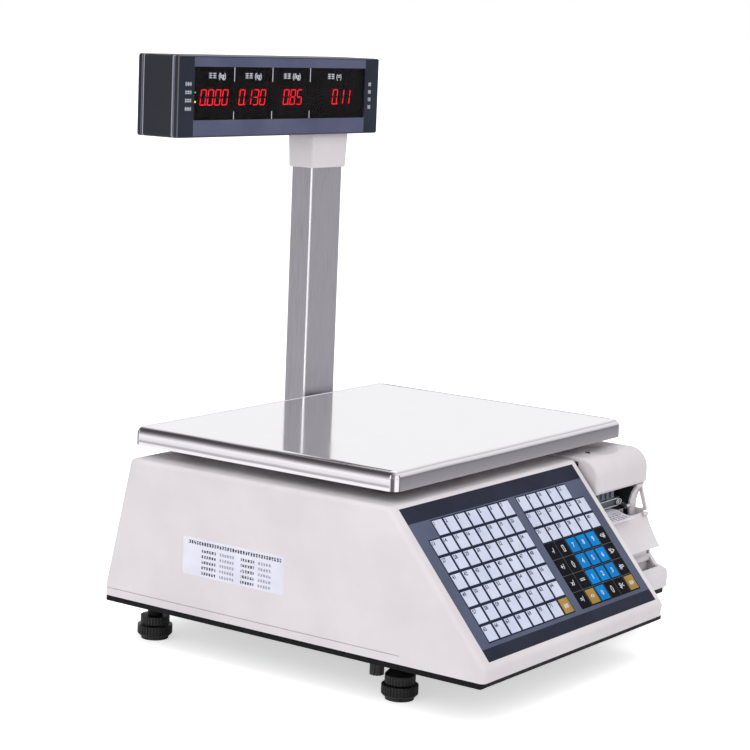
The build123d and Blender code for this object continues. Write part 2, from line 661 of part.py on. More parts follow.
arm_room = 4.4
spindle_x0, spindle_x1 = 111.0, 178.0
cheek_left, cheek_thick = 185.4, 2.0
cheek_path = [(-140.9, cover_bottom - 1.2), (-135.6, 127.0), (-133.4, 119.0), (-133.2, 111.0),
              (-134.6, 103.0), (-137.4, 96.0)]
front_path = [(-170.5, skirt), (-171.0, 51.0), (-170.0, 56.0), (-159.2, 60.0), (-151.0, 69.0)]


def make_printer_housing():
    low_front = front_path + [(-149.8, 76.0)]
    strut = [(-144.6, 109.9), (-144.9, 112.2), (-137.2, cover_bottom)]
    right_wall = low_front + [(-147.5, 91.0), (-140.9, 107.6), (-141.2, 109.2)] + strut
    right_wall += [(drawer_rear, cover_bottom), (drawer_rear, skirt)]
    solid = side_prism(right_wall, inner_right, right)
    # open triangle behind the strut that joins the cover to the door's latch
    solid -= side_prism([(-134.0, 135.4), (-141.6, 113.0), (-140.4, 111.0), (-130.6, 111.0), (-129.4, 120.0)],
                        inner_right - 1, right + 1)
    # curved cheek that closes the mouth beside the print mechanism
    solid += bent_sheet(cheek_path, cheek_thick, cheek_left, inner_right + 1)
    left_wall = low_front + [(-148.6, 84.0), (-122.0, 84.0), (-112.0, 60.0), (drawer_rear, 60.0),
                             (drawer_rear, skirt)]
    solid += side_prism(left_wall, drawer_left, inner_left)
    solid += bent_sheet(front_path, -skin, drawer_left, right)
    solid += block(drawer_left, right, -169.5, drawer_rear, floor_low, floor_high)
    # grip recess in the ledge, with a wall behind it
    solid -= block(drawer_left + 9, right - 5.5, -163.0, -153.2, floor_high, 72)
    solid += block(inner_left - 1, inner_right + 1, -150.8, -149.0, floor_low, 67.5)
    solid += block(inner_left + arm_room, inner_right - arm_room, -150.8, -149.0, 67, 76.0)
    solid += block(drawer_left, right, drawer_rear - skin, drawer_rear, floor_low, 60)
    solid += block(inner_left + 8, right, drawer_rear - skin, drawer_rear, 60, cover_bottom)
    # spindles for the label roll and for the spent backing
    for y, z, spindle_r, boss_r in ((roll_y, roll_z, 6.0, 11.0), (take_y, take_z, 4.5, 9.0)):
        solid += rod_x(spindle_r, spindle_x0, inner_right + 1, y, z)
        solid += rod_x(boss_r, spindle_x1, inner_right + 1, y, z)
    for x0, x1 in ((drawer_left - 1, inner_left + 1), (inner_right - 1, right + 1)):
        solid -= rod_x(1.5 + run_clear, x0, x1, hinge_y, hinge_z)
    # air slots low in the outer side
    for i in range(6):
        solid -= block(inner_right - 1, right + 1, 4, 40, 58 + 6 * i, 60.5 + 6 * i)
    return solid


def cover_profile(inset):
    """Side outline of the cover, drawn in by inset, with a large round nose."""
    nose_y = cover_front + inset
    top = cover_top - inset
    radius = cover_arc - inset
    rear_y = drawer_rear - inset
    low = cover_bottom - (1 if inset else 0)
    start, end = (nose_y, top - radius), (nose_y + radius, top)
    half = radius * (1 - 0.5 ** 0.5)
    curve = Curve() + [
        ThreePointArc(start, (nose_y + half, top - half), end),
        Polyline(end, (rear_y, top), (rear_y, low), (nose_y + 2.0, low), (nose_y, low + 2.5), start),
    ]
    return make_face(curve)


def make_cover():
    solid = extrude(Plane.YZ.offset(drawer_left) * cover_profile(0), amount=right - drawer_left)
    rims = []
    for e in solid.edges():
        box = e.bounding_box()
        at_side = min(abs(box.min.X - drawer_left), abs(box.min.X - right)) < 0.01
        if at_side and box.size.X < 0.01 and box.max.Z > cover_bottom + 3:
            rims.append(e)
    solid = fillet(rims, 3.6)
    solid -= extrude(Plane.YZ.offset(inner_left) * cover_profile(skin), amount=inner_right - inner_left)
    # loading side is open behind the nose
    solid -= block(drawer_left - 1, inner_left + 0.1, load_front, drawer_rear - skin,
                   cover_bottom - 1, load_top)
    # shallow thumb dish in the top, with the hole for the latch button
    solid -= Pos(dish_x, dish_y, cover_top + dish_ball - dish_deep) * Sphere(dish_ball)
    solid -= rod_z(latch_r + 0.1, latch_x, latch_y, 150, 180)
    # lower corner of the nose, drawn in towards the strut
    low = cover_bottom - 2
    corner = Polyline((right + 1, cover_bottom + 9), (right + 1, low), (right - 5, low), close=True)
    solid -= extrude(Plane.XZ.offset(90) * make_face(corner), amount=70)
    return solid


latch_x, latch_y, latch_r = 133.0, -113.5, 2.3
dish_x, dish_y, dish_ball, dish_deep = 150.0, -117.0, 150.0, 1.5
load_front, load_top = -121.0, 166.5
latch_seat, latch_flange, latch_proud = 164.5, 1.4, 0.4
save("printer_housing", make_printer_housing())
save("printer_cover", make_cover())
latch = rod_z(latch_r, latch_x, latch_y, latch_seat, cover_top + latch_proud)
latch += rod_z(latch_r + latch_flange, latch_x, latch_y, latch_seat, cover_top - skin - 0.15)
save("latch_button", latch)

rails, channels = [], []
for x in rail_places:
    rails.append(block(x - 3, x + 3, -150, drawer_rear - 4, tray_top, 42.4))
    channel = block(x - 5, x + 5, -150, drawer_rear - 4, skirt, floor_low)
    channels.append(channel - block(x - 3.3, x + 3.3, -151, drawer_rear, skirt - 1, 42.7))
save("tray_rails", *rails)
save("drawer_channels", *channels)

# ---- chute door: a hollow-curved panel that tips outwards about its foot ----
door_low, door_mid, door_high = (-161.0, 77.1), (-152.3, 90.7), (-144.0, 108.4)
door_thick = 2.2
inner_low, inner_mid, inner_high = ((y + door_thick, z - drop) for (y, z), drop in
                                    ((door_low, 1.0), (door_mid, 1.0), (door_high, 0.4)))
curve = Curve() + [
    ThreePointArc(door_low, door_mid, door_high),
    Polyline(door_high, inner_high),
    ThreePointArc(inner_high, inner_mid, inner_low),
    Polyline(inner_low, door_low),
]
door = extrude(Plane.YZ.offset(drawer_left + 0.4) * make_face(curve), amount=right - drawer_left - 0.6)
door += rod_x(1.9, right - 9, right - 0.1, -145.0, 106.8)
arm_outline = [(-148.6, 70.6), (-144.6, 70.6), (-144.4, 75.0), (-150.0, 90.0), (-156.5, 80.5),
               (-149.5, 75.0)]
for x0, x1 in ((inner_left + 0.6, inner_left + 3.6), (inner_right - 3.6, inner_right - 0.6)):
    door += side_prism(arm_outline, x0, x1)
door += rod_x(1.5, drawer_left + 0.4, inner_left + 3, hinge_y, hinge_z)
door += rod_x(1.5, inner_right - 3, right - 0.4, hinge_y, hinge_z)
save("chute_door", door)


# ---- print mechanism ----
def gear(teeth, module, phase, y, z, x0, x1):
    """Straight-cut gear whose first tooth is centred on the angle phase, in the YZ plane."""
    pitch_r = teeth * module / 2
    step = 2 * pi / teeth
    tip, root = pitch_r + 0.8 * module, pitch_r - 1.1 * module
    flank = ((-0.33, root), (-0.21, pitch_r), (-0.1, tip), (0.1, tip), (0.21, pitch_r), (0.33, root))
    points = []
    for i in range(teeth):
        centre = phase + i * step
        for share, r in flank:
            a = centre + share * step
            points.append((y + r * cos(a), z + r * sin(a)))
    return side_prism(points, x0, x1)


def meshed_phase(own_teeth, other_teeth, other_phase, direction):
    """Phase that puts a gap of this gear on a tooth of the other; direction is from other to own."""
    return direction + pi + pi / own_teeth + (direction - other_phase) * other_teeth / own_teeth


gear_module = 0.7
platen_teeth, idler_teeth, pinion_teeth = 28, 40, 12
mesh_gap = 0.08
near = (platen_teeth + idler_teeth) * gear_module / 2 + mesh_gap
far = (pinion_teeth + idler_teeth) * gear_module / 2 + mesh_gap
span = ((motor_y - platen_y) ** 2 + (motor_z - platen_z) ** 2) ** 0.5
line = atan2(motor_z - platen_z, motor_y - platen_y)
along = (near ** 2 - far ** 2 + span ** 2) / (2 * span)
aside = (near ** 2 - along ** 2) ** 0.5
idler_y = platen_y + along * cos(line) + aside * sin(line)
idler_z = platen_z + along * sin(line) - aside * cos(line)
gear_x0, gear_x1 = plate_right + plate_thick + 1.2, plate_right + plate_thick + 4.8
to_idler = atan2(idler_z - platen_z, idler_y - platen_y)
to_pinion = atan2(motor_z - idler_z, motor_y - idler_y)
idler_phase = meshed_phase(idler_teeth, platen_teeth, 0.0, to_idler)
pinion_phase = meshed_phase(pinion_teeth, idler_teeth, idler_phase, to_pinion)

front_low, front_mid, front_high = (-132.5, 92.0), (-129.8, 112.0), (-135.6, 133.0)
outline = make_face(Curve() + [
    ThreePointArc(front_low, front_mid, front_high),
    Polyline(front_high, (-62.0, 133.0), (-62.0, 92.0), front_low),
])
frame_solid = block(plate_left + plate_thick, plate_right, -131.5, -62, 90, 92)
for x in (plate_left, plate_right):
    plate = extrude(Plane.YZ.offset(x) * outline, amount=plate_thick)
    plate += block(x, x + plate_thick, -131.5, -62, 90, 93)
    for r, y, z in ((3.0, platen_y, platen_z), (2.0, head_pivot_y, head_pivot_z), (1.5, motor_y, motor_z)):
        plate -= rod_x(r + run_clear, x - 1, x + plate_thick + 1, y, z)
    frame_solid += plate
# the near plate carries on up behind the cover's loading side
frame_solid += block(plate_left, plate_left + plate_thick, -127, -104, 132, 163)
frame_solid += rod_x(2.5, plate_left + 1, plate_right + 1, -66, 129)
frame_solid += rod_x(2.0, plate_right + 1, gear_x1 + 0.6, idler_y, idler_z)
# feet that stand the mechanism on the module floor
for x in (plate_left, plate_right):
    frame_solid += block(x, x + plate_thick, -76, -64, floor_high, 91)
    frame_solid += block(x, x + plate_thick, -131, -122, floor_high, 91)
save("mechanism_frame", frame_solid)

peel = block(plate_left + plate_thick + 3, plate_right - 10, -131.6, -130.4, 92, 113.0)
peel += block(plate_left + plate_thick + 3, plate_right - 10, -130.4, -124, 92, 93.2)
save("peel_bar", peel)

platen = rod_x(platen_r, plate_left + plate_thick + 2, plate_right - 2, platen_y, platen_z)
save("platen_sleeve", platen - rod_x(3.0, 100, 200, platen_y, platen_z))
shaft = rod_x(3.0, plate_left - 1, gear_x0 + 1, platen_y, platen_z)
shaft += gear(platen_teeth, gear_module, 0.0, platen_y, platen_z, gear_x0, gear_x1)
save("platen_shaft", shaft)
idler = gear(idler_teeth, gear_module, idler_phase, idler_y, idler_z, gear_x0, gear_x1)
save("idler_gear", idler - rod_x(2.0 + run_clear, 150, 200, idler_y, idler_z))
pinion = gear(pinion_teeth, gear_module, pinion_phase, motor_y, motor_z, gear_x0, gear_x1)
pinion += rod_x(1.5, plate_right - 8, gear_x0 + 1, motor_y, motor_z)
save("motor_pinion", pinion)
motor = rod_x(9.8, plate_right - 40, plate_right, motor_y, motor_z)
motor += block(plate_right - 1.5, plate_right, motor_y - 14, motor_y + 14, motor_z - 9.8, motor_z + 9.8)
save("drive_motor", motor - rod_x(1.5 + run_clear, plate_right - 9, 200, motor_y, motor_z))

head_x0, head_x1 = plate_left + plate_thick + 3.5, plate_right - 12
head_y0, head_y1 = -126.0, -97.0
base_z0, base_z1, lid_z0, lid_z1 = 114.6, 118.5, 123.0, 124.5
fin_count, fin_pitch, fin_thick, fin_rise = 9, 2.8, 1.0, 3.0
pivot_r, ear_wide = 2.0, 4.0
# heater base with its fins, under a folded lid
print_head = block(head_x0, head_x1, head_y0, head_y1, base_z0, base_z1)
print_head += block(head_x0, head_x1, head_y0 - 1.5, head_y0, base_z0 + 0.6, lid_z1)
print_head += block(head_x0, head_x1, head_y0 - 1.5, head_y1 + 1, lid_z0, lid_z1)
for i in range(fin_count):
    fin_y = head_y0 + 3.5 + fin_pitch * i
    print_head += block(head_x0, head_x1, fin_y, fin_y + fin_thick, base_z1, base_z1 + fin_rise)
print_head += block(head_x0 + 2, head_x1 - 2, head_y1 - 2, head_y1, base_z1 - 0.5, lid_z1 - 0.5)
for x0, x1 in ((head_x0, head_x0 + ear_wide), (head_x1 - ear_wide, head_x1)):
    print_head += block(x0, x1, head_pivot_y - 3, head_pivot_y + 3, lid_z0, head_pivot_z + pivot_r)
print_head += rod_x(pivot_r, plate_left - 0.5, plate_right + plate_thick + 0.5, head_pivot_y, head_pivot_z)
save("print_head", print_head)
lever_x0, lever_x1 = head_x1 + 2.5, head_x1 + 5.5
lever = rod_x(5.0, lever_x0, lever_x1, head_pivot_y, head_pivot_z)
lever += side_prism([(-98, 131.6), (-98, 122.6), (-120, 119.0), (-131, 113.6), (-134.6, 113.2),
                     (-135.4, 116.4), (-131.5, 117.6), (-120, 125.2)], lever_x0, lever_x1)
lever += rod_x(2.2, lever_x0 - 1.4, lever_x1 + 3.2, -134.2, 115.4)
save("head_lever", lever - rod_x(pivot_r + run_clear, 100, 200, head_pivot_y, head_pivot_z))

# ---- labels: roll, web and presented label, spent backing and its spool ----
roll_x0, roll_x1 = 114.0, 174.0
web_x0, web_x1 = plate_left + plate_thick + 4.5, plate_left + plate_thick + 51.5
roll_core = rod_x(9.0, roll_x0, roll_x1, roll_y, roll_z) - rod_x(6.0 + run_clear, 90, 200, roll_y, roll_z)
paper = rod_x(roll_r, roll_x0 + 1, roll_x1 - 1, roll_y, roll_z) - rod_x(9.0, 90, 200, roll_y, roll_z)
save("label_roll", roll_core + paper)
paper_gap = 0.35
tangent_r = roll_r + paper_gap
knee_y, knee_z = -95.0, 113.75
reach_angle = atan2(knee_z - roll_z, knee_y - roll_y)
knee_far = ((knee_y - roll_y) ** 2 + (knee_z - roll_z) ** 2) ** 0.5
lift_angle = reach_angle - atan2((knee_far ** 2 - tangent_r ** 2) ** 0.5, tangent_r)
leave = (roll_y + tangent_r * cos(lift_angle), roll_z + tangent_r * sin(lift_angle))
web = bent_sheet([leave, (knee_y, knee_z), (-108, 113.75), (-122, 113.75), (-132.0, 113.6), (-137.0, 111.9),
                  (-142.0, 110.6), (-148.0, 110.1), (-153.3, 109.3)], -0.25, web_x0, web_x1)
spool_r = 13.0
backing = bent_sheet([(-133.0, 112.6), (-133.8, 108.0), (-134.2, 88.0), (-130.0, 78.0),
                      (take_y - 6, take_z - spool_r - 1.2)], 0.2, web_x0, web_x1)
save("label_strip", web, backing)
spool = rod_x(spool_r, 113, 172.5, take_y, take_z)
for x0 in (112.2, 172.0):
    spool += rod_x(19.0, x0, x0 + 1.6, take_y, take_z)
save("take_up_spool", spool - rod_x(4.5 + run_clear, 90, 200, take_y, take_z))
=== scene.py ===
from math import cos, pi, radians, sin

import bmesh
import bpy
from mathutils import Matrix, Vector


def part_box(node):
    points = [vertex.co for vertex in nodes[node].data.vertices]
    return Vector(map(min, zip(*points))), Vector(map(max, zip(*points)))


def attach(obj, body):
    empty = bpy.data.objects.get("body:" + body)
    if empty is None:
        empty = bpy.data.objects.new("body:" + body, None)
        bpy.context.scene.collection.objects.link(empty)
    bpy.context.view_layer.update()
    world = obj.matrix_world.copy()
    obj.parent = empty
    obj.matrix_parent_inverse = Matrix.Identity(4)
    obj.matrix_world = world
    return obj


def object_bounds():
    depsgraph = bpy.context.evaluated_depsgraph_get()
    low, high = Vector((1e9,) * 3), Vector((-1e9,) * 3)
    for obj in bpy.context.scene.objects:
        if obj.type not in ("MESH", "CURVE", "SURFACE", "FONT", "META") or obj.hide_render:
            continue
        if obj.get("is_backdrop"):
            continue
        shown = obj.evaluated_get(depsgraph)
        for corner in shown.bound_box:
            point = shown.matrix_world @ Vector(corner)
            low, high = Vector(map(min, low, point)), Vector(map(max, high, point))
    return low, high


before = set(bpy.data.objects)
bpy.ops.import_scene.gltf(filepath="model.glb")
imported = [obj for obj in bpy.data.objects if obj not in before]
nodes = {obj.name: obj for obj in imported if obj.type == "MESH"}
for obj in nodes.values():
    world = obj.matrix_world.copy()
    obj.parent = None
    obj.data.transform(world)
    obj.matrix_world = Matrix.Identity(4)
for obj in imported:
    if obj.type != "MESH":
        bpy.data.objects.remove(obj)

# Label printing scale: looks. Metres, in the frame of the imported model: +Z up, keyboard at -Y,
# printer at +X. Sizes in this file are written in millimetres and multiplied by MM.
MM = 0.001
cad_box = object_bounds()


# ---- colours and materials ----
def tint(code):
    """Linear colour of a hex code."""
    parts = [int(code[i:i + 2], 16) / 255 for i in (0, 2, 4)]
    return [c / 12.92 if c <= 0.04045 else ((c + 0.055) / 1.055) ** 2.4 for c in parts] + [1.0]


class Finish:
    """One procedural material, built node by node from each point's place in the frame."""

    def __init__(self, name):
        self.material = bpy.data.materials.new(name)
        self.material.use_nodes = True
        tree = self.material.node_tree
        self.nodes, self.links = tree.nodes, tree.links
        self.nodes.clear()
        self.shader = self.nodes.new("ShaderNodeBsdfPrincipled")
        output = self.nodes.new("ShaderNodeOutputMaterial")
        self.links.new(self.shader.outputs[0], output.inputs["Surface"])
        self.place = self.nodes.new("ShaderNodeTexCoord").outputs["Object"]

    def feed(self, socket, value):
        if isinstance(value, bpy.types.NodeSocket):
            self.links.new(value, socket)
        else:
            socket.default_value = value

    def set(self, **values):
        """Shader inputs by name, with underscores for spaces."""
        for name, value in values.items():
            self.feed(self.shader.inputs[name.replace("_", " ")], value)

    def noise(self, size, detail=3.0, stretch=(1, 1, 1)):
        """Noise with features about size metres across, longer along the stretched axes."""
        mapping = self.nodes.new("ShaderNodeMapping")
        mapping.inputs["Scale"].default_value = [1 / (size * s) for s in stretch]
        self.links.new(self.place, mapping.inputs["Vector"])
        noise = self.nodes.new("ShaderNodeTexNoise")
        noise.inputs["Scale"].default_value = 1.0
        noise.inputs["Detail"].default_value = detail
        self.links.new(mapping.outputs[0], noise.inputs["Vector"])
        return noise.outputs["Fac"]

    def math(self, kind, a, b=0.0):
        node = self.nodes.new("ShaderNodeMath")
        node.operation = kind
        for socket, value in zip(node.inputs, (a, b)):
            self.feed(socket, value)
        return node.outputs[0]

    def spread(self, value, low, high, start=0.35, end=0.65):
        """value carried from start..end to low..high."""
        node = self.nodes.new("ShaderNodeMapRange")
        for name, v in (("Value", value), ("From Min", start), ("From Max", end),
                        ("To Min", low), ("To Max", high)):
            self.feed(node.inputs[name], v)
        return node.outputs[0]

    def blend(self, share, a, b):
        node = self.nodes.new("ShaderNodeMix")
        node.data_type = "RGBA"
        self.feed(node.inputs[0], share)
        self.feed(node.inputs[6], a)
        self.feed(node.inputs[7], b)
        return node.outputs[2]

    def ramp(self, value, stops):
        """Colour along value, from stops of place and hex code."""
        node = self.nodes.new("ShaderNodeValToRGB")
        elements = node.color_ramp.elements
        for element, (place, code) in zip((elements[0], elements[1]), (stops[0], stops[-1])):
            element.position, element.color = place, tint(code)
        for place, code in stops[1:-1]:
            elements.new(place).color = tint(code)
        self.feed(node.inputs[0], value)
        return node.outputs[0]

    def facing(self, letter):
        """One part of the outward direction of the surface."""
        node = self.nodes.new("ShaderNodeSeparateXYZ")
        self.links.new(self.nodes.new("ShaderNodeNewGeometry").outputs["Normal"], node.inputs[0])
        return node.outputs["XYZ".index(letter)]

    def axis(self, letter):
        node = self.nodes.new("ShaderNodeSeparateXYZ")
        self.links.new(self.place, node.inputs[0])
        return node.outputs["XYZ".index(letter)]

    def between(self, value, low, high):
        """1 where low < value < high, else 0."""
        above = self.math("GREATER_THAN", value, low)
        return self.math("MULTIPLY", above, self.math("LESS_THAN", value, high))

    def dot(self, origin, direction):
        """Distance of the point from origin along a direction."""
        away = self.nodes.new("ShaderNodeVectorMath")
        away.operation = "SUBTRACT"
        self.links.new(self.place, away.inputs[0])
        away.inputs[1].default_value = origin
        node = self.nodes.new("ShaderNodeVectorMath")
        node.operation = "DOT_PRODUCT"
        self.links.new(away.outputs[0], node.inputs[0])
        node.inputs[1].default_value = direction
        return node.outputs["Value"]

    def radius(self, y, z):
        """Distance from an axis that runs along X through (y, z)."""
        dy = self.math("SUBTRACT", self.axis("Y"), y)
        dz = self.math("SUBTRACT", self.axis("Z"), z)
        square = self.math("ADD", self.math("MULTIPLY", dy, dy), self.math("MULTIPLY", dz, dz))
        return self.math("SQRT", square)

    def bump(self, height, depth, strength=1.0):
        """Adds relief of depth metres, over any relief already there."""
        node = self.nodes.new("ShaderNodeBump")
        node.inputs["Strength"].default_value = strength
        node.inputs["Distance"].default_value = depth
        self.links.new(height, node.inputs["Height"])
        normal = self.shader.inputs["Normal"]
        if normal.is_linked:
            self.links.new(normal.links[0].from_socket, node.inputs["Normal"])
        self.links.new(node.outputs[0], normal)
        return self

    def round_edges(self, radius):
        """Softens the light on sharp edges."""
        node = self.nodes.new("ShaderNodeBevel")
        node.samples = 4
        node.inputs["Radius"].default_value = radius
        self.links.new(node.outputs[0], self.shader.inputs["Normal"])
        return self

    def crevices(self, reach):
        """0 in the open to 1 deep in corners."""
        node = self.nodes.new("ShaderNodeAmbientOcclusion")
        node.samples = 6
        node.inputs["Distance"].default_value = reach
        return self.spread(node.outputs["AO"], 1.0, 0.0, 0.35, 0.95)


GRAIN = 0.45 * MM
GRAIN_DEPTH = 0.012 * MM


def moulded(name, light, dark, rough, crevice_shade=None):
    """Moulded plastic: slow colour drift, spark-eroded grain, uneven gloss; with a crevice colour given,
    painted shade darkens it deep in crevices.
    """
    f = Finish(name).round_edges(0.5 * MM)
    colour = f.blend(f.spread(f.noise(60 * MM, 4), 0, 1), tint(light), tint(dark))
    colour = f.blend(f.spread(f.noise(1.6 * MM, 2), 0.0, 0.10), colour, tint(dark))
    # painted shade: ambient occlusion mixes a darker colour into corners and crevices
    if crevice_shade:
        colour = f.blend(f.math("MULTIPLY", f.crevices(7 * MM), 0.55), colour, tint(crevice_shade))
    gloss = f.math("ADD", f.spread(f.noise(25 * MM, 5), rough - 0.07, rough + 0.07),
                   f.spread(f.noise(GRAIN, 1), -0.03, 0.03))
    f.set(Base_Color=colour, Roughness=gloss)
    return f.bump(f.noise(GRAIN, 2), GRAIN_DEPTH, 0.6)


def coated(name, light, dark, rough):
    """Powder-coated steel: orange-peel skin with small specks."""
    f = Finish(name).round_edges(0.4 * MM)
    specks = f.spread(f.noise(0.8 * MM, 1), 0, 1, 0.6, 0.75)
    colour = f.blend(f.spread(f.noise(30 * MM, 4), 0, 1), tint(dark), tint(light))
    colour = f.blend(f.math("MULTIPLY", specks, 0.2), colour, tint("4A4A50"))
    f.set(Base_Color=colour, Roughness=f.spread(f.noise(6 * MM, 3), rough - 0.1, rough + 0.1))
    return f.bump(f.noise(1.4 * MM, 2), 0.03 * MM, 0.7)


def brushed(name, light, dark, along, rough, length):
    """Metal with fine lines along one axis, smears and uneven gloss."""
    f = Finish(name).round_edges(0.3 * MM)
    stretch = [length if axis == along else 1 for axis in "XYZ"]
    lines = f.noise(0.35 * MM, 2, stretch)
    wide = f.noise(2.5 * MM, 3, stretch)
    smear = f.noise(45 * MM, 4)
    colour = f.blend(f.spread(lines, 0, 1), tint(dark), tint(light))
    colour = f.blend(f.spread(smear, 0.0, 0.35), colour, tint(light))
    gloss = f.math("ADD", f.spread(lines, rough - 0.05, rough + 0.07), f.spread(smear, -0.03, 0.05))
    gloss = f.math("ADD", gloss, f.spread(wide, -0.02, 0.03))
    f.set(Base_Color=colour, Roughness=gloss, Metallic=1.0)
    return f.bump(lines, 0.02 * MM, 0.25)


def platter_finish():
    """Polished pan: mirror-like top with fine lines; the rolled skirt has painted reflections, bands of
    studio light and shade set by height and facing.
    """
    f = Finish("platter steel")
    low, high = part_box("platter")
    fine = f.noise(0.3 * MM, 2, (120, 1, 1))
    smear = f.noise(70 * MM, 4)
    waver = f.spread(f.noise(90 * MM, 2), -0.01, 0.01)
    height = f.math("ADD", f.spread(f.axis("Z"), 0.0, 1.0, low.z, high.z), waver)
    # painted reflection: light and dark studio bands by height on the skirt's X-facing ends
    ends = f.ramp(height, [(0.0, "F6F2F6"), (0.13, "FAF6FA"), (0.2, "B4B0B6"), (0.26, "B8B4BA"),
                           (0.33, "E4E0E6"), (0.56, "F6F2F8"), (0.64, "D0CCD2"), (0.7, "8E8A90"),
                           (0.8, "4E4A50"), (0.9, "48444A"), (0.97, "D8D4DC")])
    # painted reflection: light and dark studio bands by height on the skirt's Y-facing sides
    sides = f.ramp(height, [(0.0, "9C98A0"), (0.25, "908C94"), (0.55, "868289"), (0.68, "827E86"),
                            (0.74, "D6D2D8"), (0.84, "F0ECF2"), (0.9, "C8C4CC"), (0.97, "F4F0F6")])
    nx, ny = f.facing("X"), f.facing("Y")
    nx, ny = f.math("MULTIPLY", nx, nx), f.math("MULTIPLY", ny, ny)
    round_corner = f.math("DIVIDE", nx, f.math("MAXIMUM", f.math("ADD", nx, ny), 0.0001))
    # painted reflection: dark and bright streaks round the skirt's rounded corners
    corner_reflection = f.ramp(round_corner, [(0.05, "828087"), (0.1, "5A565C"), (0.16, "F8F4F8"), (0.5, "F8F4F8"),
                                    (0.6, "6A666C"), (0.86, "5E5A60"), (0.95, "F0ECF2")])
    rim_reflection = f.blend(f.spread(round_corner, 0, 1, 0.1, 0.9), sides, ends)
    at_corner = f.math("MULTIPLY", f.between(round_corner, 0.05, 0.95), f.math("LESS_THAN", height, 0.8))
    rim_reflection = f.blend(at_corner, rim_reflection, corner_reflection)
    top = f.blend(f.spread(fine, 0, 1), tint("FCFAFC"), tint("F4F2F4"))
    flat = f.spread(f.facing("Z"), 0.0, 1.0, 0.86, 0.97)
    gloss = f.math("ADD", f.spread(fine, 0.05, 0.1), f.spread(smear, 0.0, 0.05))
    f.set(Base_Color=f.blend(flat, rim_reflection, top), Metallic=1.0,
          Roughness=f.math("ADD", gloss, f.spread(flat, 0.16, 0.0, 0.0, 1.0)))
    return f.bump(fine, 0.004 * MM, 0.2)


def post_finish():
    """Brushed tube with a painted highlight, a brighter colour, on its rounded corners."""
    f = brushed("post steel", "A8A5AB", "94919A", "Z", 0.32, 80)
    plain = f.shader.inputs["Base Color"].links[0].from_socket
    # painted highlight: the colour turns near white where the surface faces diagonally round a corner
    corner = f.math("ABSOLUTE", f.math("MULTIPLY", f.facing("X"), f.facing("Y")))
    f.set(Base_Color=f.blend(f.spread(corner, 0, 1, 0.2, 0.45), plain, tint("F4F2F6")))
    return f


def case_finish():
    """Display case: dark moulding with painted highlights, lighter lines along the seam and corner edges
    near each face.
    """
    f = moulded("display case", "22242C", "1C1E26", 0.42)
    low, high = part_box("display_shell")
    y = f.axis("Y")
    inward = f.math("MINIMUM", f.math("SUBTRACT", y, low.y), f.math("SUBTRACT", high.y, y))
    plain = f.shader.inputs["Base Color"].links[0].from_socket
    # painted highlights: light lines at set distances from each face, along the seam and corner edges
    seam_highlights = ((6.25, 7.2, "A2A2B0"), (4.3, 5.05, "6E6E7C"), (0.0, 0.7, "5C5E6A"))
    for start, end, code in seam_highlights:
        plain = f.blend(f.between(inward, start * MM, end * MM), plain, tint(code))
    f.set(Base_Color=plain, Specular_IOR_Level=0.25)
    return f


def cast(name, light, dark):
    """Sand-cast or milled aluminium with pits."""
    f = Finish(name).round_edges(0.6 * MM)
    pits = f.noise(1.2 * MM, 4)
    colour = f.blend(f.spread(f.noise(20 * MM, 5), 0, 1), tint(light), tint(dark))
    f.set(Base_Color=colour, Roughness=f.spread(pits, 0.38, 0.6), Metallic=1.0)
    return f.bump(pits, 0.12 * MM, 0.5)


def rubbery(name, light, dark):
    """Rubber with a little dust."""
    f = Finish(name).round_edges(0.5 * MM)
    colour = f.blend(f.spread(f.noise(8 * MM, 5), 0, 1), tint(dark), tint(light))
    dust = f.spread(f.noise(14 * MM, 6), 0, 0.3, 0.5, 0.75)
    colour = f.blend(dust, colour, tint("6A6862"))
    f.set(Base_Color=colour, Roughness=f.spread(f.noise(3 * MM, 4), 0.62, 0.88))
    return f.bump(f.noise(0.5 * MM, 3), 0.03 * MM, 0.8)


INK_GLOSS = 0.03


def printed(name, light, dark):
    """Ink on polyester film: fine texture, a little mottling."""
    f = Finish(name)
    colour = f.blend(f.spread(f.noise(18 * MM, 4), 0, 1), tint(light), tint(dark))
    f.set(Base_Color=colour, Roughness=f.spread(f.noise(5 * MM, 4), 0.31, 0.45))
    f.set(Specular_IOR_Level=INK_GLOSS)
    return f.bump(f.noise(0.3 * MM, 1), 0.008 * MM, 0.5)


# ---- places taken from the frame ----
KEY_SLOPE = radians(49.4)
OVERLAY_THICK = 0.6 * MM
BAND_END, FIELD_END = 15.0, 135.6
film_low, film_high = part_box("keyboard_overlay")
across = Vector((1, 0, 0))
down = Vector((0, -cos(KEY_SLOPE), -sin(KEY_SLOPE)))
outward = Vector((0, -sin(KEY_SLOPE), cos(KEY_SLOPE)))
film_corner = Vector((film_low.x, film_high.y - OVERLAY_THICK * sin(KEY_SLOPE), film_high.z))


def on_film(a, d, h):
    """Point a mm across and d mm down the keyboard from its top left corner, h mm out of it."""
    return film_corner + (across * a + down * d + outward * h) * MM


shell_low, shell_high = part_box("display_shell")
head_mid_x = (shell_low.x + shell_high.x) / 2
head_half = (shell_high.x - shell_low.x) / 2
HEAD_WIDTH = 2 * head_half / MM
HEAD_END_BAND = 22.4
WINDOW_TOP, WINDOW_FOOT = 10.4, 58.0
PANEL_EDGE = 1.0


def on_head(side):
    """Gives the function that places a point on one face of the display head.

    a is mm from the face's left edge, d is mm down from its top and h is mm out of it."""
    face_y = shell_low.y if side < 0 else shell_high.y

    def place(a, d, h):
        x = head_mid_x - side * (a * MM - head_half)
        return Vector((x, face_y + side * h * MM, shell_high.z - d * MM))
    return place


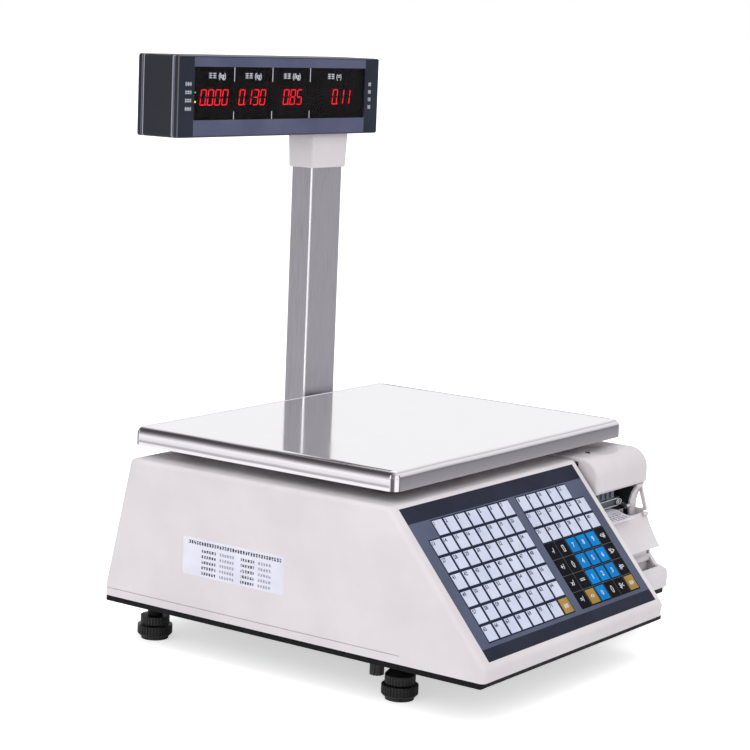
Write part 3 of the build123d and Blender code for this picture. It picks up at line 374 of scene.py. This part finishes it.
# ---- mesh code ----
class Build:
    """Gathers closed prisms and letters into one mesh."""

    def __init__(self):
        self.points, self.faces = [], []

    def prism(self, outline, low, high, place):
        """An outline of (a, d) points pushed from height low to high."""
        start, n = len(self.points), len(outline)
        for h in (low, high):
            self.points += [place(a, d, h) for a, d in outline]
        self.faces.append([start + i for i in reversed(range(n))])
        self.faces.append([start + n + i for i in range(n)])
        for i in range(n):
            j = (i + 1) % n
            self.faces.append([start + i, start + j, start + n + j, start + n + i])

    def bar(self, a0, a1, d0, d1, low, high, place):
        self.prism([(a0, d0), (a1, d0), (a1, d1), (a0, d1)], low, high, place)

    def rounded(self, a0, a1, d0, d1, corner, low, high, place):
        outline = []
        for ca, cd, turn in ((a1 - corner, d1 - corner, 0), (a0 + corner, d1 - corner, 1),
                             (a0 + corner, d0 + corner, 2), (a1 - corner, d0 + corner, 3)):
            for i in range(5):
                angle = (turn + i / 4) * pi / 2
                outline.append((ca + corner * cos(angle), cd + corner * sin(angle)))
        self.prism(outline, low, high, place)

    def disc(self, a, d, radius, low, high, place, sides=24):
        turns = [2 * pi * i / sides for i in range(sides)]
        self.prism([(a + radius * cos(t), d + radius * sin(t)) for t in turns], low, high, place)

    def ring(self, path, radius):
        """A round wire along a closed loop of points in the frame."""
        start, n, sides = len(self.points), len(path), 10
        for i, here in enumerate(path):
            way = (path[(i + 1) % n] - path[i - 1]).normalized()
            aside = way.orthogonal() if abs(way.y) > 0.9 else way.cross(Vector((0, 1, 0)))
            aside.normalize()
            third = way.cross(aside)
            for k in range(sides):
                angle = 2 * pi * k / sides
                self.points.append(here + radius * (cos(angle) * aside + sin(angle) * third))
        for i in range(n):
            j = (i + 1) % n
            for k in range(sides):
                m = (k + 1) % sides
                self.faces.append([start + i * sides + k, start + i * sides + m,
                                   start + j * sides + m, start + j * sides + k])

    def text(self, words, a, d, size, low, high, place, middle=False):
        """Words in the plain built-in font; (a, d) is the foot of the first letter, or the middle."""
        points, faces, width = letters(words)
        shift = -width * size / 2 if middle else 0
        start = len(self.points)
        for x, y, z in points:
            h = high if z > 0 else low
            self.points.append(place(a + shift + x * size, d - y * size, h))
        self.faces += [[start + i for i in face] for face in faces]

    def finish(self, name, material, body, slot, smooth=False):
        mesh = bpy.data.meshes.new(name)
        mesh.from_pydata(self.points, [], self.faces)
        bm = bmesh.new()
        bm.from_mesh(mesh)
        bmesh.ops.remove_doubles(bm, verts=bm.verts, dist=1e-7)
        bmesh.ops.recalc_face_normals(bm, faces=bm.faces)
        bm.to_mesh(mesh)
        bm.free()
        piece = bpy.data.objects.new(name, mesh)
        bpy.context.scene.collection.objects.link(piece)
        mesh.materials.append(material)
        for polygon in mesh.polygons:
            polygon.use_smooth = smooth
        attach(piece, body)


letter_cache = {}


def letters(words):
    """Points, faces and width of some words at size 1, standing on the XY plane."""
    if words not in letter_cache:
        curve = bpy.data.curves.new("letters", "FONT")
        curve.body = words
        curve.size = 1.4
        curve.extrude = 0.5
        curve.resolution_u = 2
        curve.offset = 0.026
        holder = bpy.data.objects.new("letters", curve)
        bpy.context.scene.collection.objects.link(holder)
        bpy.context.view_layer.update()
        mesh = holder.evaluated_get(bpy.context.evaluated_depsgraph_get()).to_mesh()
        points = [tuple(v.co) for v in mesh.vertices]
        faces = [list(p.vertices) for p in mesh.polygons]
        left = min(p[0] for p in points)
        points = [(x - left, y, z) for x, y, z in points]
        letter_cache[words] = (points, faces, max(p[0] for p in points))
        bpy.data.objects.remove(holder)
        bpy.data.curves.remove(curve)
    return letter_cache[words]


# ---- finishes of the CAD nodes ----
def overlay_finish():
    """Keyboard film: slate field between a dark band at the top and one at the bottom."""
    f = Finish("overlay film")
    way_down = f.dot(film_corner, down)
    field = f.between(way_down, BAND_END * MM, FIELD_END * MM)
    slate = f.blend(f.spread(f.noise(70 * MM, 3), 0, 1), tint("5A6076"), tint("50566A"))
    band = f.blend(f.spread(f.noise(50 * MM, 3), 0, 1), tint("2C2F3E"), tint("272A38"))
    f.set(Base_Color=f.blend(field, band, slate), Roughness=f.spread(f.noise(6 * MM, 4), 0.36, 0.5))
    f.set(Specular_IOR_Level=INK_GLOSS)
    return f.bump(f.noise(0.35 * MM, 1), 0.012 * MM, 0.6)


def panel_finish():
    """Display front: slate strips above and below the window, darker bands at both ends."""
    f = Finish("display panel")
    up = f.axis("Z")
    left = shell_low.x + HEAD_END_BAND * MM
    right = shell_high.x - HEAD_END_BAND * MM
    strip = f.math("ADD", f.between(up, shell_low.z + PANEL_EDGE * MM, shell_high.z - WINDOW_FOOT * MM),
                   f.between(up, shell_high.z - WINDOW_TOP * MM, shell_high.z - PANEL_EDGE * MM))
    strip = f.math("MULTIPLY", strip, f.between(f.axis("X"), left, right))
    slate = f.blend(f.spread(f.noise(40 * MM, 3), 0, 1), tint("5C5F78"), tint("53566E"))
    band = f.blend(f.spread(f.noise(30 * MM, 3), 0, 1), tint("30343F"), tint("2A2E39"))
    f.set(Base_Color=f.blend(strip, band, slate), Roughness=f.spread(f.noise(8 * MM, 3), 0.3, 0.42))
    f.set(Specular_IOR_Level=INK_GLOSS)
    return f.bump(f.noise(0.3 * MM, 1), 0.01 * MM, 0.5)


def label_finish():
    """Rating label: a heavier head row, then two columns of generic caption and value marks."""
    f = Finish("rating label")
    low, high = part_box("rating_label")
    down = f.math("SUBTRACT", high.z, f.axis("Z"))
    along = f.math("DIVIDE", f.math("SUBTRACT", high.y, f.axis("Y")), high.y - low.y)
    pitch = 5.0 * MM
    rows = f.math("DIVIDE", f.math("SUBTRACT", down, 8.4 * MM), pitch)
    words = f.nodes.new("ShaderNodeCombineXYZ")
    f.feed(words.inputs[0], f.math("DIVIDE", f.axis("Y"), 1.0 * MM))
    f.feed(words.inputs[1], f.math("DIVIDE", f.axis("Z"), 1.3 * MM))
    strokes = f.nodes.new("ShaderNodeTexNoise")
    strokes.inputs["Scale"].default_value = 1.0
    strokes.inputs["Detail"].default_value = 1.0
    f.links.new(words.outputs[0], strokes.inputs["Vector"])
    cell = f.math("FRACT", f.math("DIVIDE", f.axis("Y"), 2.9 * MM))
    ink = f.math("MULTIPLY", f.math("GREATER_THAN", strokes.outputs["Fac"], 0.4), f.between(cell, 0.0, 0.68))
    head = f.math("MULTIPLY", f.between(down, 2.6 * MM, 5.8 * MM), f.between(along, 0.05, 0.97))
    captions = f.math("ADD", f.between(along, 0.19, 0.33), f.between(along, 0.58, 0.71))
    values = f.math("ADD", f.between(along, 0.37, 0.51), f.between(along, 0.75, 0.88))
    columns = f.math("ADD", captions, f.math("MULTIPLY", values, 0.6))
    body = f.math("MULTIPLY", f.between(f.math("FRACT", rows), 0.2, 0.72), f.between(rows, 0.0, 5.0))
    ink = f.math("MULTIPLY", ink, f.math("ADD", head, f.math("MULTIPLY", body, columns)))
    base = f.blend(f.spread(f.noise(25 * MM, 4), 0, 1), tint("E4E3F0"), tint("D9D8E8"))
    f.set(Base_Color=f.blend(ink, base, tint("0C0D16")), Roughness=f.spread(f.noise(5 * MM, 3), 0.3, 0.45))
    return f


def web_finish():
    """Label stock, with rows of generic marks on the label that hangs over the door."""
    f = Finish("label stock")
    low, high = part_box("label_strip")
    along = f.math("SUBTRACT", f.axis("Y"), low.y)
    over = f.between(along, 2.0 * MM, 17 * MM)
    row = f.between(f.math("FRACT", f.math("DIVIDE", along, 3.1 * MM)), 0.2, 0.62)
    strokes = f.math("GREATER_THAN", f.noise(1.3 * MM, 1, (0.8, 3, 3)), 0.5)
    inner = f.between(f.axis("X"), low.x + 4 * MM, high.x - 4 * MM)
    ink = f.math("MULTIPLY", f.math("MULTIPLY", over, row), f.math("MULTIPLY", strokes, inner))
    upper = f.math("GREATER_THAN", f.axis("Z"), 108.6 * MM)
    ink = f.math("MULTIPLY", ink, upper)
    base = f.blend(f.spread(f.noise(12 * MM, 4), 0, 1), tint("F6F1FC"), tint("E9E3F2"))
    f.set(Base_Color=f.blend(ink, base, tint("3A3450")), Roughness=f.spread(f.noise(3 * MM, 3), 0.4, 0.6))
    return f.bump(f.noise(0.6 * MM, 3), 0.01 * MM, 0.5)


def roll_finish():
    """Wound label stock: fine rings on the ends, where the layers show."""
    f = Finish("wound labels")
    low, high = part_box("label_roll")
    away = f.radius((low.y + high.y) / 2, (low.z + high.z) / 2)
    uneven = f.math("ADD", away, f.spread(f.noise(9 * MM), 0, 0.6 * MM))
    layers = f.math("FRACT", f.math("DIVIDE", uneven, 0.9 * MM))
    core = f.math("LESS_THAN", away, 9 * MM)
    stock = f.blend(f.spread(layers, 0.0, 0.7, 0.0, 1.0), tint("F0EEE8"), tint("D8D4C4"))
    colour = f.blend(core, stock, tint("A98A5E"))
    f.set(Base_Color=colour, Roughness=f.spread(f.noise(4 * MM, 4), 0.55, 0.75))
    return f.bump(layers, 0.05 * MM, 0.5)


WINDOW_VEIL = 0.45


def window_finish():
    """Smoked acrylic; the veil is the share of the view that the smoke hides."""
    f = Finish("smoked window")
    colour = f.blend(f.spread(f.noise(60 * MM, 2), 0, 1), tint("100E10"), tint("0A080A"))
    f.set(Base_Color=colour, Roughness=f.spread(f.noise(10 * MM, 5), 0.2, 0.28), IOR=1.45)
    f.set(Alpha=WINDOW_VEIL, Specular_IOR_Level=0.06)
    return f


def glow_finish(name, colour, strength):
    """Lit plastic, a little uneven."""
    f = Finish(name)
    lit = f.blend(f.spread(f.noise(3 * MM, 2), 0, 0.25), tint(colour), tint("FFFFFF"))
    f.set(Base_Color=tint(colour), Roughness=f.spread(f.noise(2 * MM, 2), 0.3, 0.45))
    glow = f.blend(f.spread(f.noise(4 * MM, 2), 0, 0.15), tint(colour), lit)
    f.set(Emission_Color=glow, Emission_Strength=strength)
    return f


def board_finish():
    """Green board with the shine of tracks under the mask."""
    f = Finish("circuit board")
    tracks = f.math("GREATER_THAN", f.noise(3 * MM, 1, (6, 1, 1)), 0.55)
    colour = f.blend(tracks, tint("0F5A34"), tint("1E7A4A"))
    f.set(Base_Color=colour, Roughness=f.spread(f.noise(2 * MM, 3), 0.28, 0.45))
    return f.bump(tracks, 0.03 * MM, 0.5)


def vial_finish():
    """Clear vial of pale green liquid."""
    f = Finish("vial")
    colour = f.blend(f.spread(f.noise(6 * MM, 2), 0, 1), tint("D8F27A"), tint("C8E860"))
    f.set(Base_Color=colour, Roughness=f.spread(f.noise(4 * MM, 3), 0.03, 0.09), IOR=1.47)
    f.set(Transmission_Weight=0.8)
    return f


# the cream gets painted shade: a darker colour mixed in deep in its crevices
cream = moulded("shell cream", "DDD7DA", "D5CED1", 0.40, crevice_shade="8A8280")
satin_dark = case_finish()
feet_black = moulded("foot nylon", "121214", "0C0C0E", 0.36)
small_black = moulded("small black parts", "242428", "1A1A1E", 0.42)
black_coat = coated("tray coat", "0E0E11", "09090B", 0.55)
black_coat.set(Specular_IOR_Level=0.15)
mech_coat = coated("mechanism coat", "2C2E32", "1E2024", 0.42)
rubber = rubbery("rubber", "2A2A2A", "1C1C1C")
pan_steel = platter_finish()
post_steel = post_finish()
zinc = brushed("zinc plate", "C8CACC", "AEB0B4", "Y", 0.3, 30)
bright = brushed("bright steel", "D6D8DA", "B8BABC", "X", 0.2, 40)
head_metal = brushed("head metal", "5C646C", "454C54", "X", 0.34, 40)
milled = cast("cell aluminium", "C8C9CC", "B4B5B9")
alloy = cast("cast aluminium", "A8A9AC", "8E8F93")
brass = brushed("brass", "D9B25A", "B98E3C", "X", 0.28, 20)
acetal = moulded("acetal", "E8E4DA", "D8D2C4", 0.38)
spool_grey = moulded("spool plastic", "7A7C82", "66686E", 0.45)
rocker_red = moulded("rocker red", "B02A20", "8E1E18", 0.3)
key_white = printed("key white", "CFD5E8", "C4CBE0")
key_blue = printed("key blue", "0082D2", "0076BE")
key_black = printed("key black", "0C0C13", "08080E")
key_gold = printed("key gold", "AC8A46", "9A7A3C")

finishes = {
    cream: ["upper_housing", "post_socket", "post_collar", "printer_housing", "printer_cover", "chute_door"],
    black_coat: ["base_tray", "service_cover"],
    feet_black: ["transport_screw"] + [n for n in nodes if n.startswith(("foot_wheel", "lock_ring"))],
    rubber: ["spider_pads", "platen_sleeve"] + [n for n in nodes if n.startswith("foot_sole")],
    small_black: ["inlet_module", "latch_button"],
    satin_dark: ["display_shell"],
    mech_coat: ["mechanism_frame"],
    pan_steel: ["platter"],
    post_steel: ["post"],
    zinc: ["base_screws", "tray_rails", "drawer_channels", "port_panel", "power_supply", "drive_motor"],
    bright: ["data_ports", "platen_shaft", "peel_bar", "head_lever"],
    head_metal: ["print_head"],
    milled: ["load_cell"],
    alloy: ["cell_pedestal", "spider"],
    brass: ["motor_pinion"],
    acetal: ["idler_gear"],
    spool_grey: ["take_up_spool"],
    rocker_red: ["power_rocker"],
    key_white: ["keys_white"],
    key_blue: ["keys_blue"],
    key_black: ["keys_black"],
    key_gold: ["keys_gold"],
    overlay_finish(): ["keyboard_overlay"],
    panel_finish(): ["display_panels"],
    label_finish(): ["rating_label"],
    web_finish(): ["label_strip"],
    roll_finish(): ["label_roll"],
    window_finish(): ["display_windows"],
    glow_finish("lit figures", "FF1228", 3.6): ["display_figures"],
    board_finish(): ["circuit_boards"],
    vial_finish(): ["level_vial"],
}
for finish, names in finishes.items():
    for name in names:
        mesh = nodes[name].data
        mesh.materials.clear()
        mesh.materials.append(finish.material)

# ---- keyboard print: dark grounds between the keys, lines, numbers and signs ----
# Millimetres across and down the film; each block has its left edge, key pitch and a letter per key.
ROW_TOP, ROW_PITCH, KEY_HEIGHT, KEY_WIDTH = 17.3, 16.6, 13.9, 14.2
BLOCKS = [(15.1, 17.4, [".WWWWWWW"] + ["WWWWWWWW"] * 5 + ["WWWWWWWG"]),
          (165.1, 17.3, ["WWWWW.", "WWWWWW", "WWWWWW", "KKBBBK", "KKBBBK", "KKBBBK", "KGBKKG"])]
KEY_RISE = 0.3
INK = 0.04
BORDER = 1.3
SIGNS = {(3, 0): "-/", (3, 1): "[]", (3, 5): "<#", (4, 0): "+/", (4, 1): "()", (4, 5): "%>",
         (5, 0): "x/", (5, 1): "==", (5, 5): "#=", (6, 0): "=/", (6, 1): "<>", (6, 3): "{}",
         (6, 4): "$<", (6, 5): "##"}
NUMBER_SIZE, DIGIT_SIZE, SIGN_SIZE, GOLD_SIGN_SIZE = 3.7, 4.8, 5.0, 4.2
NUMBERS = {(3, 2): "7", (3, 3): "8", (3, 4): "9", (4, 2): "4", (4, 3): "5", (4, 4): "6",
           (5, 2): "1", (5, 3): "2", (5, 4): "3", (6, 2): "0"}


def key_place(block, row, column):
    first, pitch, rows = BLOCKS[block]
    return first + column * pitch, ROW_TOP + row * ROW_PITCH


def ground_outline(block, rows):
    """Outline round the keys in some rows of a block, a border's width outside them."""
    points_left, points_right = [], []
    for row in rows:
        letters_in_row = BLOCKS[block][2][row]
        used = [i for i, letter in enumerate(letters_in_row) if letter != "."]
        x0, top = key_place(block, row, used[0])
        x1, top = key_place(block, row, used[-1])
        upper = top - BORDER
        lower = top + KEY_HEIGHT + (BORDER if row == rows[-1] else ROW_PITCH - KEY_HEIGHT - BORDER)
        points_left += [(x0 - BORDER, upper), (x0 - BORDER, lower)]
        points_right += [(x1 + KEY_WIDTH + BORDER, upper), (x1 + KEY_WIDTH + BORDER, lower)]
    outline = points_right + points_left[::-1]
    return [p for i, p in enumerate(outline) if p != outline[i - 1]]


navy = printed("key border ink", "262B40", "20253A")
ground = Build()
ground.prism(ground_outline(0, range(7)), 0.01, INK, on_film)
ground.prism(ground_outline(1, range(3)), 0.01, INK, on_film)
ground.finish("key_borders", navy.material, "base", "overlay_slate")

keypad = Build()
x0, top = key_place(1, 3, 0)
x1, bottom = key_place(1, 6, 5)
pad_box = (x0 - BORDER, x1 + KEY_WIDTH + BORDER, top - BORDER + 0.05, bottom + KEY_HEIGHT + BORDER)
keypad.bar(*pad_box, 0.01, 0.2, on_film)
keypad.finish("keypad_ground", key_black.material, "base", "key_black")

lines = Build()
LINE_HALF = 0.22
for row in range(4, 7):
    y = key_place(1, row, 0)[1] - (ROW_PITCH - KEY_HEIGHT) / 2
    lines.bar(pad_box[0], pad_box[1], y - LINE_HALF, y + LINE_HALF, 0.1, 0.26, on_film)
for column in range(1, 6):
    x = key_place(1, 3, column)[0] - (BLOCKS[1][1] - KEY_WIDTH) / 2
    lines.bar(x - LINE_HALF, x + LINE_HALF, pad_box[2], pad_box[3], 0.1, 0.25, on_film)
grey_ink = printed("line ink", "5E626E", "52565F")
lines.finish("keypad_lines", grey_ink.material, "base", "overlay_slate")

dark_print, light_print = Build(), Build()
number = 1
for row in range(7):
    for block in range(2):
        for column, letter in enumerate(BLOCKS[block][2][row]):
            x, y = key_place(block, row, column)
            middle = x + KEY_WIDTH / 2
            if letter == "W":
                on_key = (NUMBER_SIZE, KEY_RISE, KEY_RISE + INK, on_film)
                dark_print.text(str(number), x + 0.8, y + 4.3, *on_key)
                number += 1
            elif letter == "B":
                on_key = (DIGIT_SIZE, KEY_RISE, KEY_RISE + INK, on_film, True)
                light_print.text(NUMBERS[row, column], middle, y + 9.2, *on_key)
            elif letter in "KG":
                size = SIGN_SIZE if letter == "K" else GOLD_SIGN_SIZE
                on_key = (size, KEY_RISE, KEY_RISE + INK, on_film, True)
                light_print.text(SIGNS.get((row, column), "##"), middle, y + 8.9, *on_key)
dark_ink = printed("dark ink", "1C1E2C", "161824")
white_ink = printed("white ink", "D6D8E2", "C8CAD6")
dark_print.finish("key_numbers", dark_ink.material, "base", "key_white")
light_print.finish("key_signs", white_ink.material, "base", "key_black")

# ---- print and lamps on both faces of the display head ----
WINDOW_FACE, PANEL_FACE = -0.3, -0.2
DIVIDERS, DIVIDER_HALF = (80.0, 137.0, 195.6), 0.45
CAPTIONS = ((55, "(kg)"), (108, "(kg)"), (166, "(/kg)"), (236, "(=)"))
STATUS_INSET, STATUS_ROWS = 14.5, (25.5, 33.0, 40.5, 48.0)
LAMP_A, YELLOW_D, GREEN_D = 26.6, 42.0, 33.5
marks, lamps_yellow, lamps_green, backing = Build(), Build(), Build(), Build()


def mark(a0, a1, d0, d1, face, place):
    """A bar of ink on one face of the head."""
    marks.bar(a0, a1, d0, d1, face, face + INK, place)


def caption(a, unit, place):
    """Two block signs and a unit over one group of figures."""
    marks.text(unit, a + 2, 20.4, 5.0, WINDOW_FACE, WINDOW_FACE + INK, place)
    for left in (a - 12, a - 6):
        for d in (15.6, 17.6, 19.6):
            mark(left, left + 4.6, d, d + 0.8, WINDOW_FACE, place)
        mark(left + 1.9, left + 2.7, 15.6, 20.4, WINDOW_FACE, place)


def status_word(a, d, half, place):
    """Block signs for one status caption at an end of the head."""
    mark(a - half, a + half, d - 0.9, d - 0.2, PANEL_FACE, place)
    mark(a - half, a + half, d + 0.6, d + 1.3, PANEL_FACE, place)
    for k in (-1, 0, 1):
        c = a + k * half * 0.75
        mark(c - 0.35, c + 0.35, d - 1.7, d + 2.0, PANEL_FACE, place)


for side in (-1, 1):
    place = on_head(side)
    for a in DIVIDERS:
        mark(a - DIVIDER_HALF, a + DIVIDER_HALF, 10.3, 23.4, WINDOW_FACE, place)
        mark(a - DIVIDER_HALF, a + DIVIDER_HALF, 51.0, 58.3, WINDOW_FACE, place)
    for a, unit in CAPTIONS:
        caption(a, unit, place)
    for a, half in ((STATUS_INSET, 4.4), (HEAD_WIDTH - STATUS_INSET, 2.2)):
        for d in STATUS_ROWS:
            status_word(a, d, half, place)
    lamps_yellow.disc(LAMP_A, YELLOW_D, 0.9, -2.5, -2.1, place)
    lamps_green.disc(LAMP_A, GREEN_D, 0.7, -2.5, -2.1, place)
    backing.bar(9.5, HEAD_WIDTH - 9.5, 7.0, 64.0, -4.0, -3.0, place)
yellow_glow = glow_finish("yellow lamp", "FFC020", 5.0)
green_glow = glow_finish("green lamp", "40E080", 3.0)
backing_dark = moulded("figure backing", "1C1416", "140E10", 0.6)
marks.finish("display_print", white_ink.material, "base", "panel_slate")
lamps_yellow.finish("lamps_yellow", yellow_glow.material, "base", "figure_red")
lamps_green.finish("lamps_green", green_glow.material, "base", "figure_red")
backing.finish("figure_backing", backing_dark.material, "base", "display_dark")

# ---- print mechanism details in the printer's mouth ----
head_low, head_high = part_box("print_head")
mouth_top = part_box("printer_cover")[0].z / MM


def loop(x0, x1, z0, z1, corner, y):
    """Points round an upright rounded rectangle at one y."""
    points = []
    for cx, cz, turn in ((x1 - corner, z1 - corner, 0), (x0 + corner, z1 - corner, 1),
                         (x0 + corner, z0 + corner, 2), (x1 - corner, z0 + corner, 3)):
        for i in range(5):
            angle = (turn + i / 4) * pi / 2
            points.append(Vector((cx + corner * cos(angle), y, cz + corner * sin(angle))))
    return points


WIRE = 0.75 * MM
wire_y = head_low.y - 0.5 * WIRE
bracket = Build()
long_loop = loop(head_low.x + 9 * MM, head_high.x - 16 * MM, 116.4 * MM, 123.4 * MM, 2.6 * MM, wire_y)
short_loop = loop(head_high.x - 21 * MM, head_high.x - 13 * MM, 117.4 * MM, 122.4 * MM, 2.2 * MM,
                  wire_y - WIRE)
bracket.ring(long_loop, WIRE)
bracket.ring(short_loop, WIRE)
bracket.finish("head_bracket", bright.material, "print_head", "mech_bright", smooth=True)

liner_blue = moulded("mouth liner", "46525E", "343E48", 0.35)


def flat(a, d, h):
    """Point at x = a, y = d, z = h millimetres."""
    return Vector((a, d, h)) * MM


# A plate over the mouth, an upright web behind it and five ribs on the web.
RIB_START, RIB_WIDE, RIB_PITCH = 114.0, 2.0, 8.6
liner = Build()
liner.rounded(109, 184, -140.2, -130.5, 1.5, mouth_top + 0.4, mouth_top + 2.0, flat)
liner.bar(111, 156, -131.4, -130.6, 126.5, mouth_top + 0.5, flat)
for i in range(5):
    rib = RIB_START + RIB_PITCH * i
    liner.bar(rib, rib + RIB_WIDE, -132.6, -131.2, 127.5, mouth_top, flat)
liner.finish("mouth_liner", liner_blue.material, "printer", "mech_black")

# ---- screws in the plate round the sockets ----
panel_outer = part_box("port_panel")[1].y
heads = Build()


def on_ports(a, d, h):
    """Point on the outer face of the socket plate, from x = a and z = d in millimetres."""
    return Vector((a * MM, panel_outer + h * MM, d * MM))


for a in (-123.5, -99.5):
    for d in (63.0, 99.0):
        heads.disc(a, d, 2.2, 0.0, 0.9, on_ports)
        heads.disc(a, d, 1.6, 0.9, 1.2, on_ports)
heads.finish("port_screws", zinc.material, "base", "port_steel")

# ---- floor, light and camera ----
WHITE = (1, 1, 1, 1)
FLOOR_HALF, FLOOR_GLOW = 40.0, 0.55
SKY_LOW, SKY_HIGH, SKY_TURN = (0.50, 0.50, 0.52, 1), (0.97, 0.97, 0.98, 1), 0.06
SKY_STRENGTH = 0.96


def pale_floor():
    """A wide plain floor, lifted towards white where the camera sees it."""
    mesh = bpy.data.meshes.new("floor")
    corners = [(-1, -1), (1, -1), (1, 1), (-1, 1)]
    mesh.from_pydata([(FLOOR_HALF * x, FLOOR_HALF * y, 0) for x, y in corners], [], [(0, 1, 2, 3)])
    floor = bpy.data.objects.new("floor", mesh)
    bpy.context.scene.collection.objects.link(floor)
    f = Finish("pale floor")
    f.set(Base_Color=f.blend(f.noise(0.4, 3), tint("F4F4F4"), tint("FAFAFA")), Roughness=0.85)
    camera_ray = f.nodes.new("ShaderNodeLightPath").outputs["Is Camera Ray"]
    f.set(Emission_Color=WHITE, Emission_Strength=f.math("MULTIPLY", camera_ray, FLOOR_GLOW))
    mesh.materials.append(f.material)
    floor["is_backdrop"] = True


def studio_sky():
    """Soft light that is greyer below the horizon; the camera sees plain white."""
    world = bpy.data.worlds.new("studio")
    bpy.context.scene.world = world
    world.use_nodes = True
    tree = world.node_tree
    tree.nodes.clear()
    direction = tree.nodes.new("ShaderNodeTexCoord")
    split = tree.nodes.new("ShaderNodeSeparateXYZ")
    tree.links.new(direction.outputs["Generated"], split.inputs[0])
    sky = tree.nodes.new("ShaderNodeValToRGB")
    first, last = sky.color_ramp.elements
    first.position, first.color = 0.0, SKY_LOW
    last.position, last.color = SKY_TURN, SKY_HIGH
    tree.links.new(split.outputs["Z"], sky.inputs[0])
    lit = tree.nodes.new("ShaderNodeBackground")
    tree.links.new(sky.outputs[0], lit.inputs[0])
    lit.inputs[1].default_value = SKY_STRENGTH
    seen = tree.nodes.new("ShaderNodeBackground")
    seen.inputs[0].default_value = WHITE
    seen.inputs[1].default_value = 1.0
    path = tree.nodes.new("ShaderNodeLightPath")
    choose = tree.nodes.new("ShaderNodeMixShader")
    tree.links.new(path.outputs["Is Camera Ray"], choose.inputs[0])
    tree.links.new(lit.outputs[0], choose.inputs[1])
    tree.links.new(seen.outputs[0], choose.inputs[2])
    output = tree.nodes.new("ShaderNodeOutputWorld")
    tree.links.new(choose.outputs[0], output.inputs[0])


def softbox(name, place, aim, width, height, power):
    light = bpy.data.lights.new(name, "AREA")
    light.shape = "RECTANGLE"
    light.size, light.size_y = width, height
    light.energy = power
    holder = bpy.data.objects.new(name, light)
    bpy.context.scene.collection.objects.link(holder)
    holder.location = place
    holder.rotation_euler = (Vector(aim) - Vector(place)).to_track_quat("-Z", "Y").to_euler()


pale_floor()
studio_sky()
softbox("top softbox", (0.1, 0.1, 2.2), (0, 0, 0.2), 2.0, 2.0, 7)
softbox("left softbox", (-2.2, -0.4, 1.2), (0, 0, 0.2), 1.6, 1.6, 7)
softbox("edge strip", (-2.3, -1.75, 0.9), (0, 0, 0.25), 0.3, 1.8, 5)

CAMERA_PLACE = Vector((-1.69186, -1.15773, 0.56429))
CAMERA_YAW, CAMERA_PITCH, CAMERA_ROLL = -0.953947, 0.155439, 0.040777
FOCAL_SHARE = 3.0018
SENSOR = 36.0
camera_data = bpy.data.cameras.new("camera")
camera_data.sensor_width = SENSOR
camera_data.lens = FOCAL_SHARE * SENSOR
camera_data.clip_start = 0.05
camera = bpy.data.objects.new("camera", camera_data)
bpy.context.scene.collection.objects.link(camera)
bpy.context.scene.camera = camera
level_share = cos(CAMERA_PITCH)
back = Vector((sin(CAMERA_YAW) * level_share, -cos(CAMERA_YAW) * level_share, sin(CAMERA_PITCH)))
level = (-back).cross(Vector((0, 0, 1))).normalized()
upright = level.cross(-back)
right_axis = cos(CAMERA_ROLL) * level + sin(CAMERA_ROLL) * upright
up_axis = cos(CAMERA_ROLL) * upright - sin(CAMERA_ROLL) * level
turn = Matrix((right_axis, up_axis, back)).transposed().to_4x4()
camera.matrix_world = Matrix.Translation(CAMERA_PLACE) @ turn

view = bpy.context.scene.view_settings
view.view_transform = "Standard"
view.look = "None"

seen_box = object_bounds()
boxes = {"cad": cad_box, "visual": seen_box}
{name: [list(map(float, p)) for p in box] for name, box in boxes.items()}
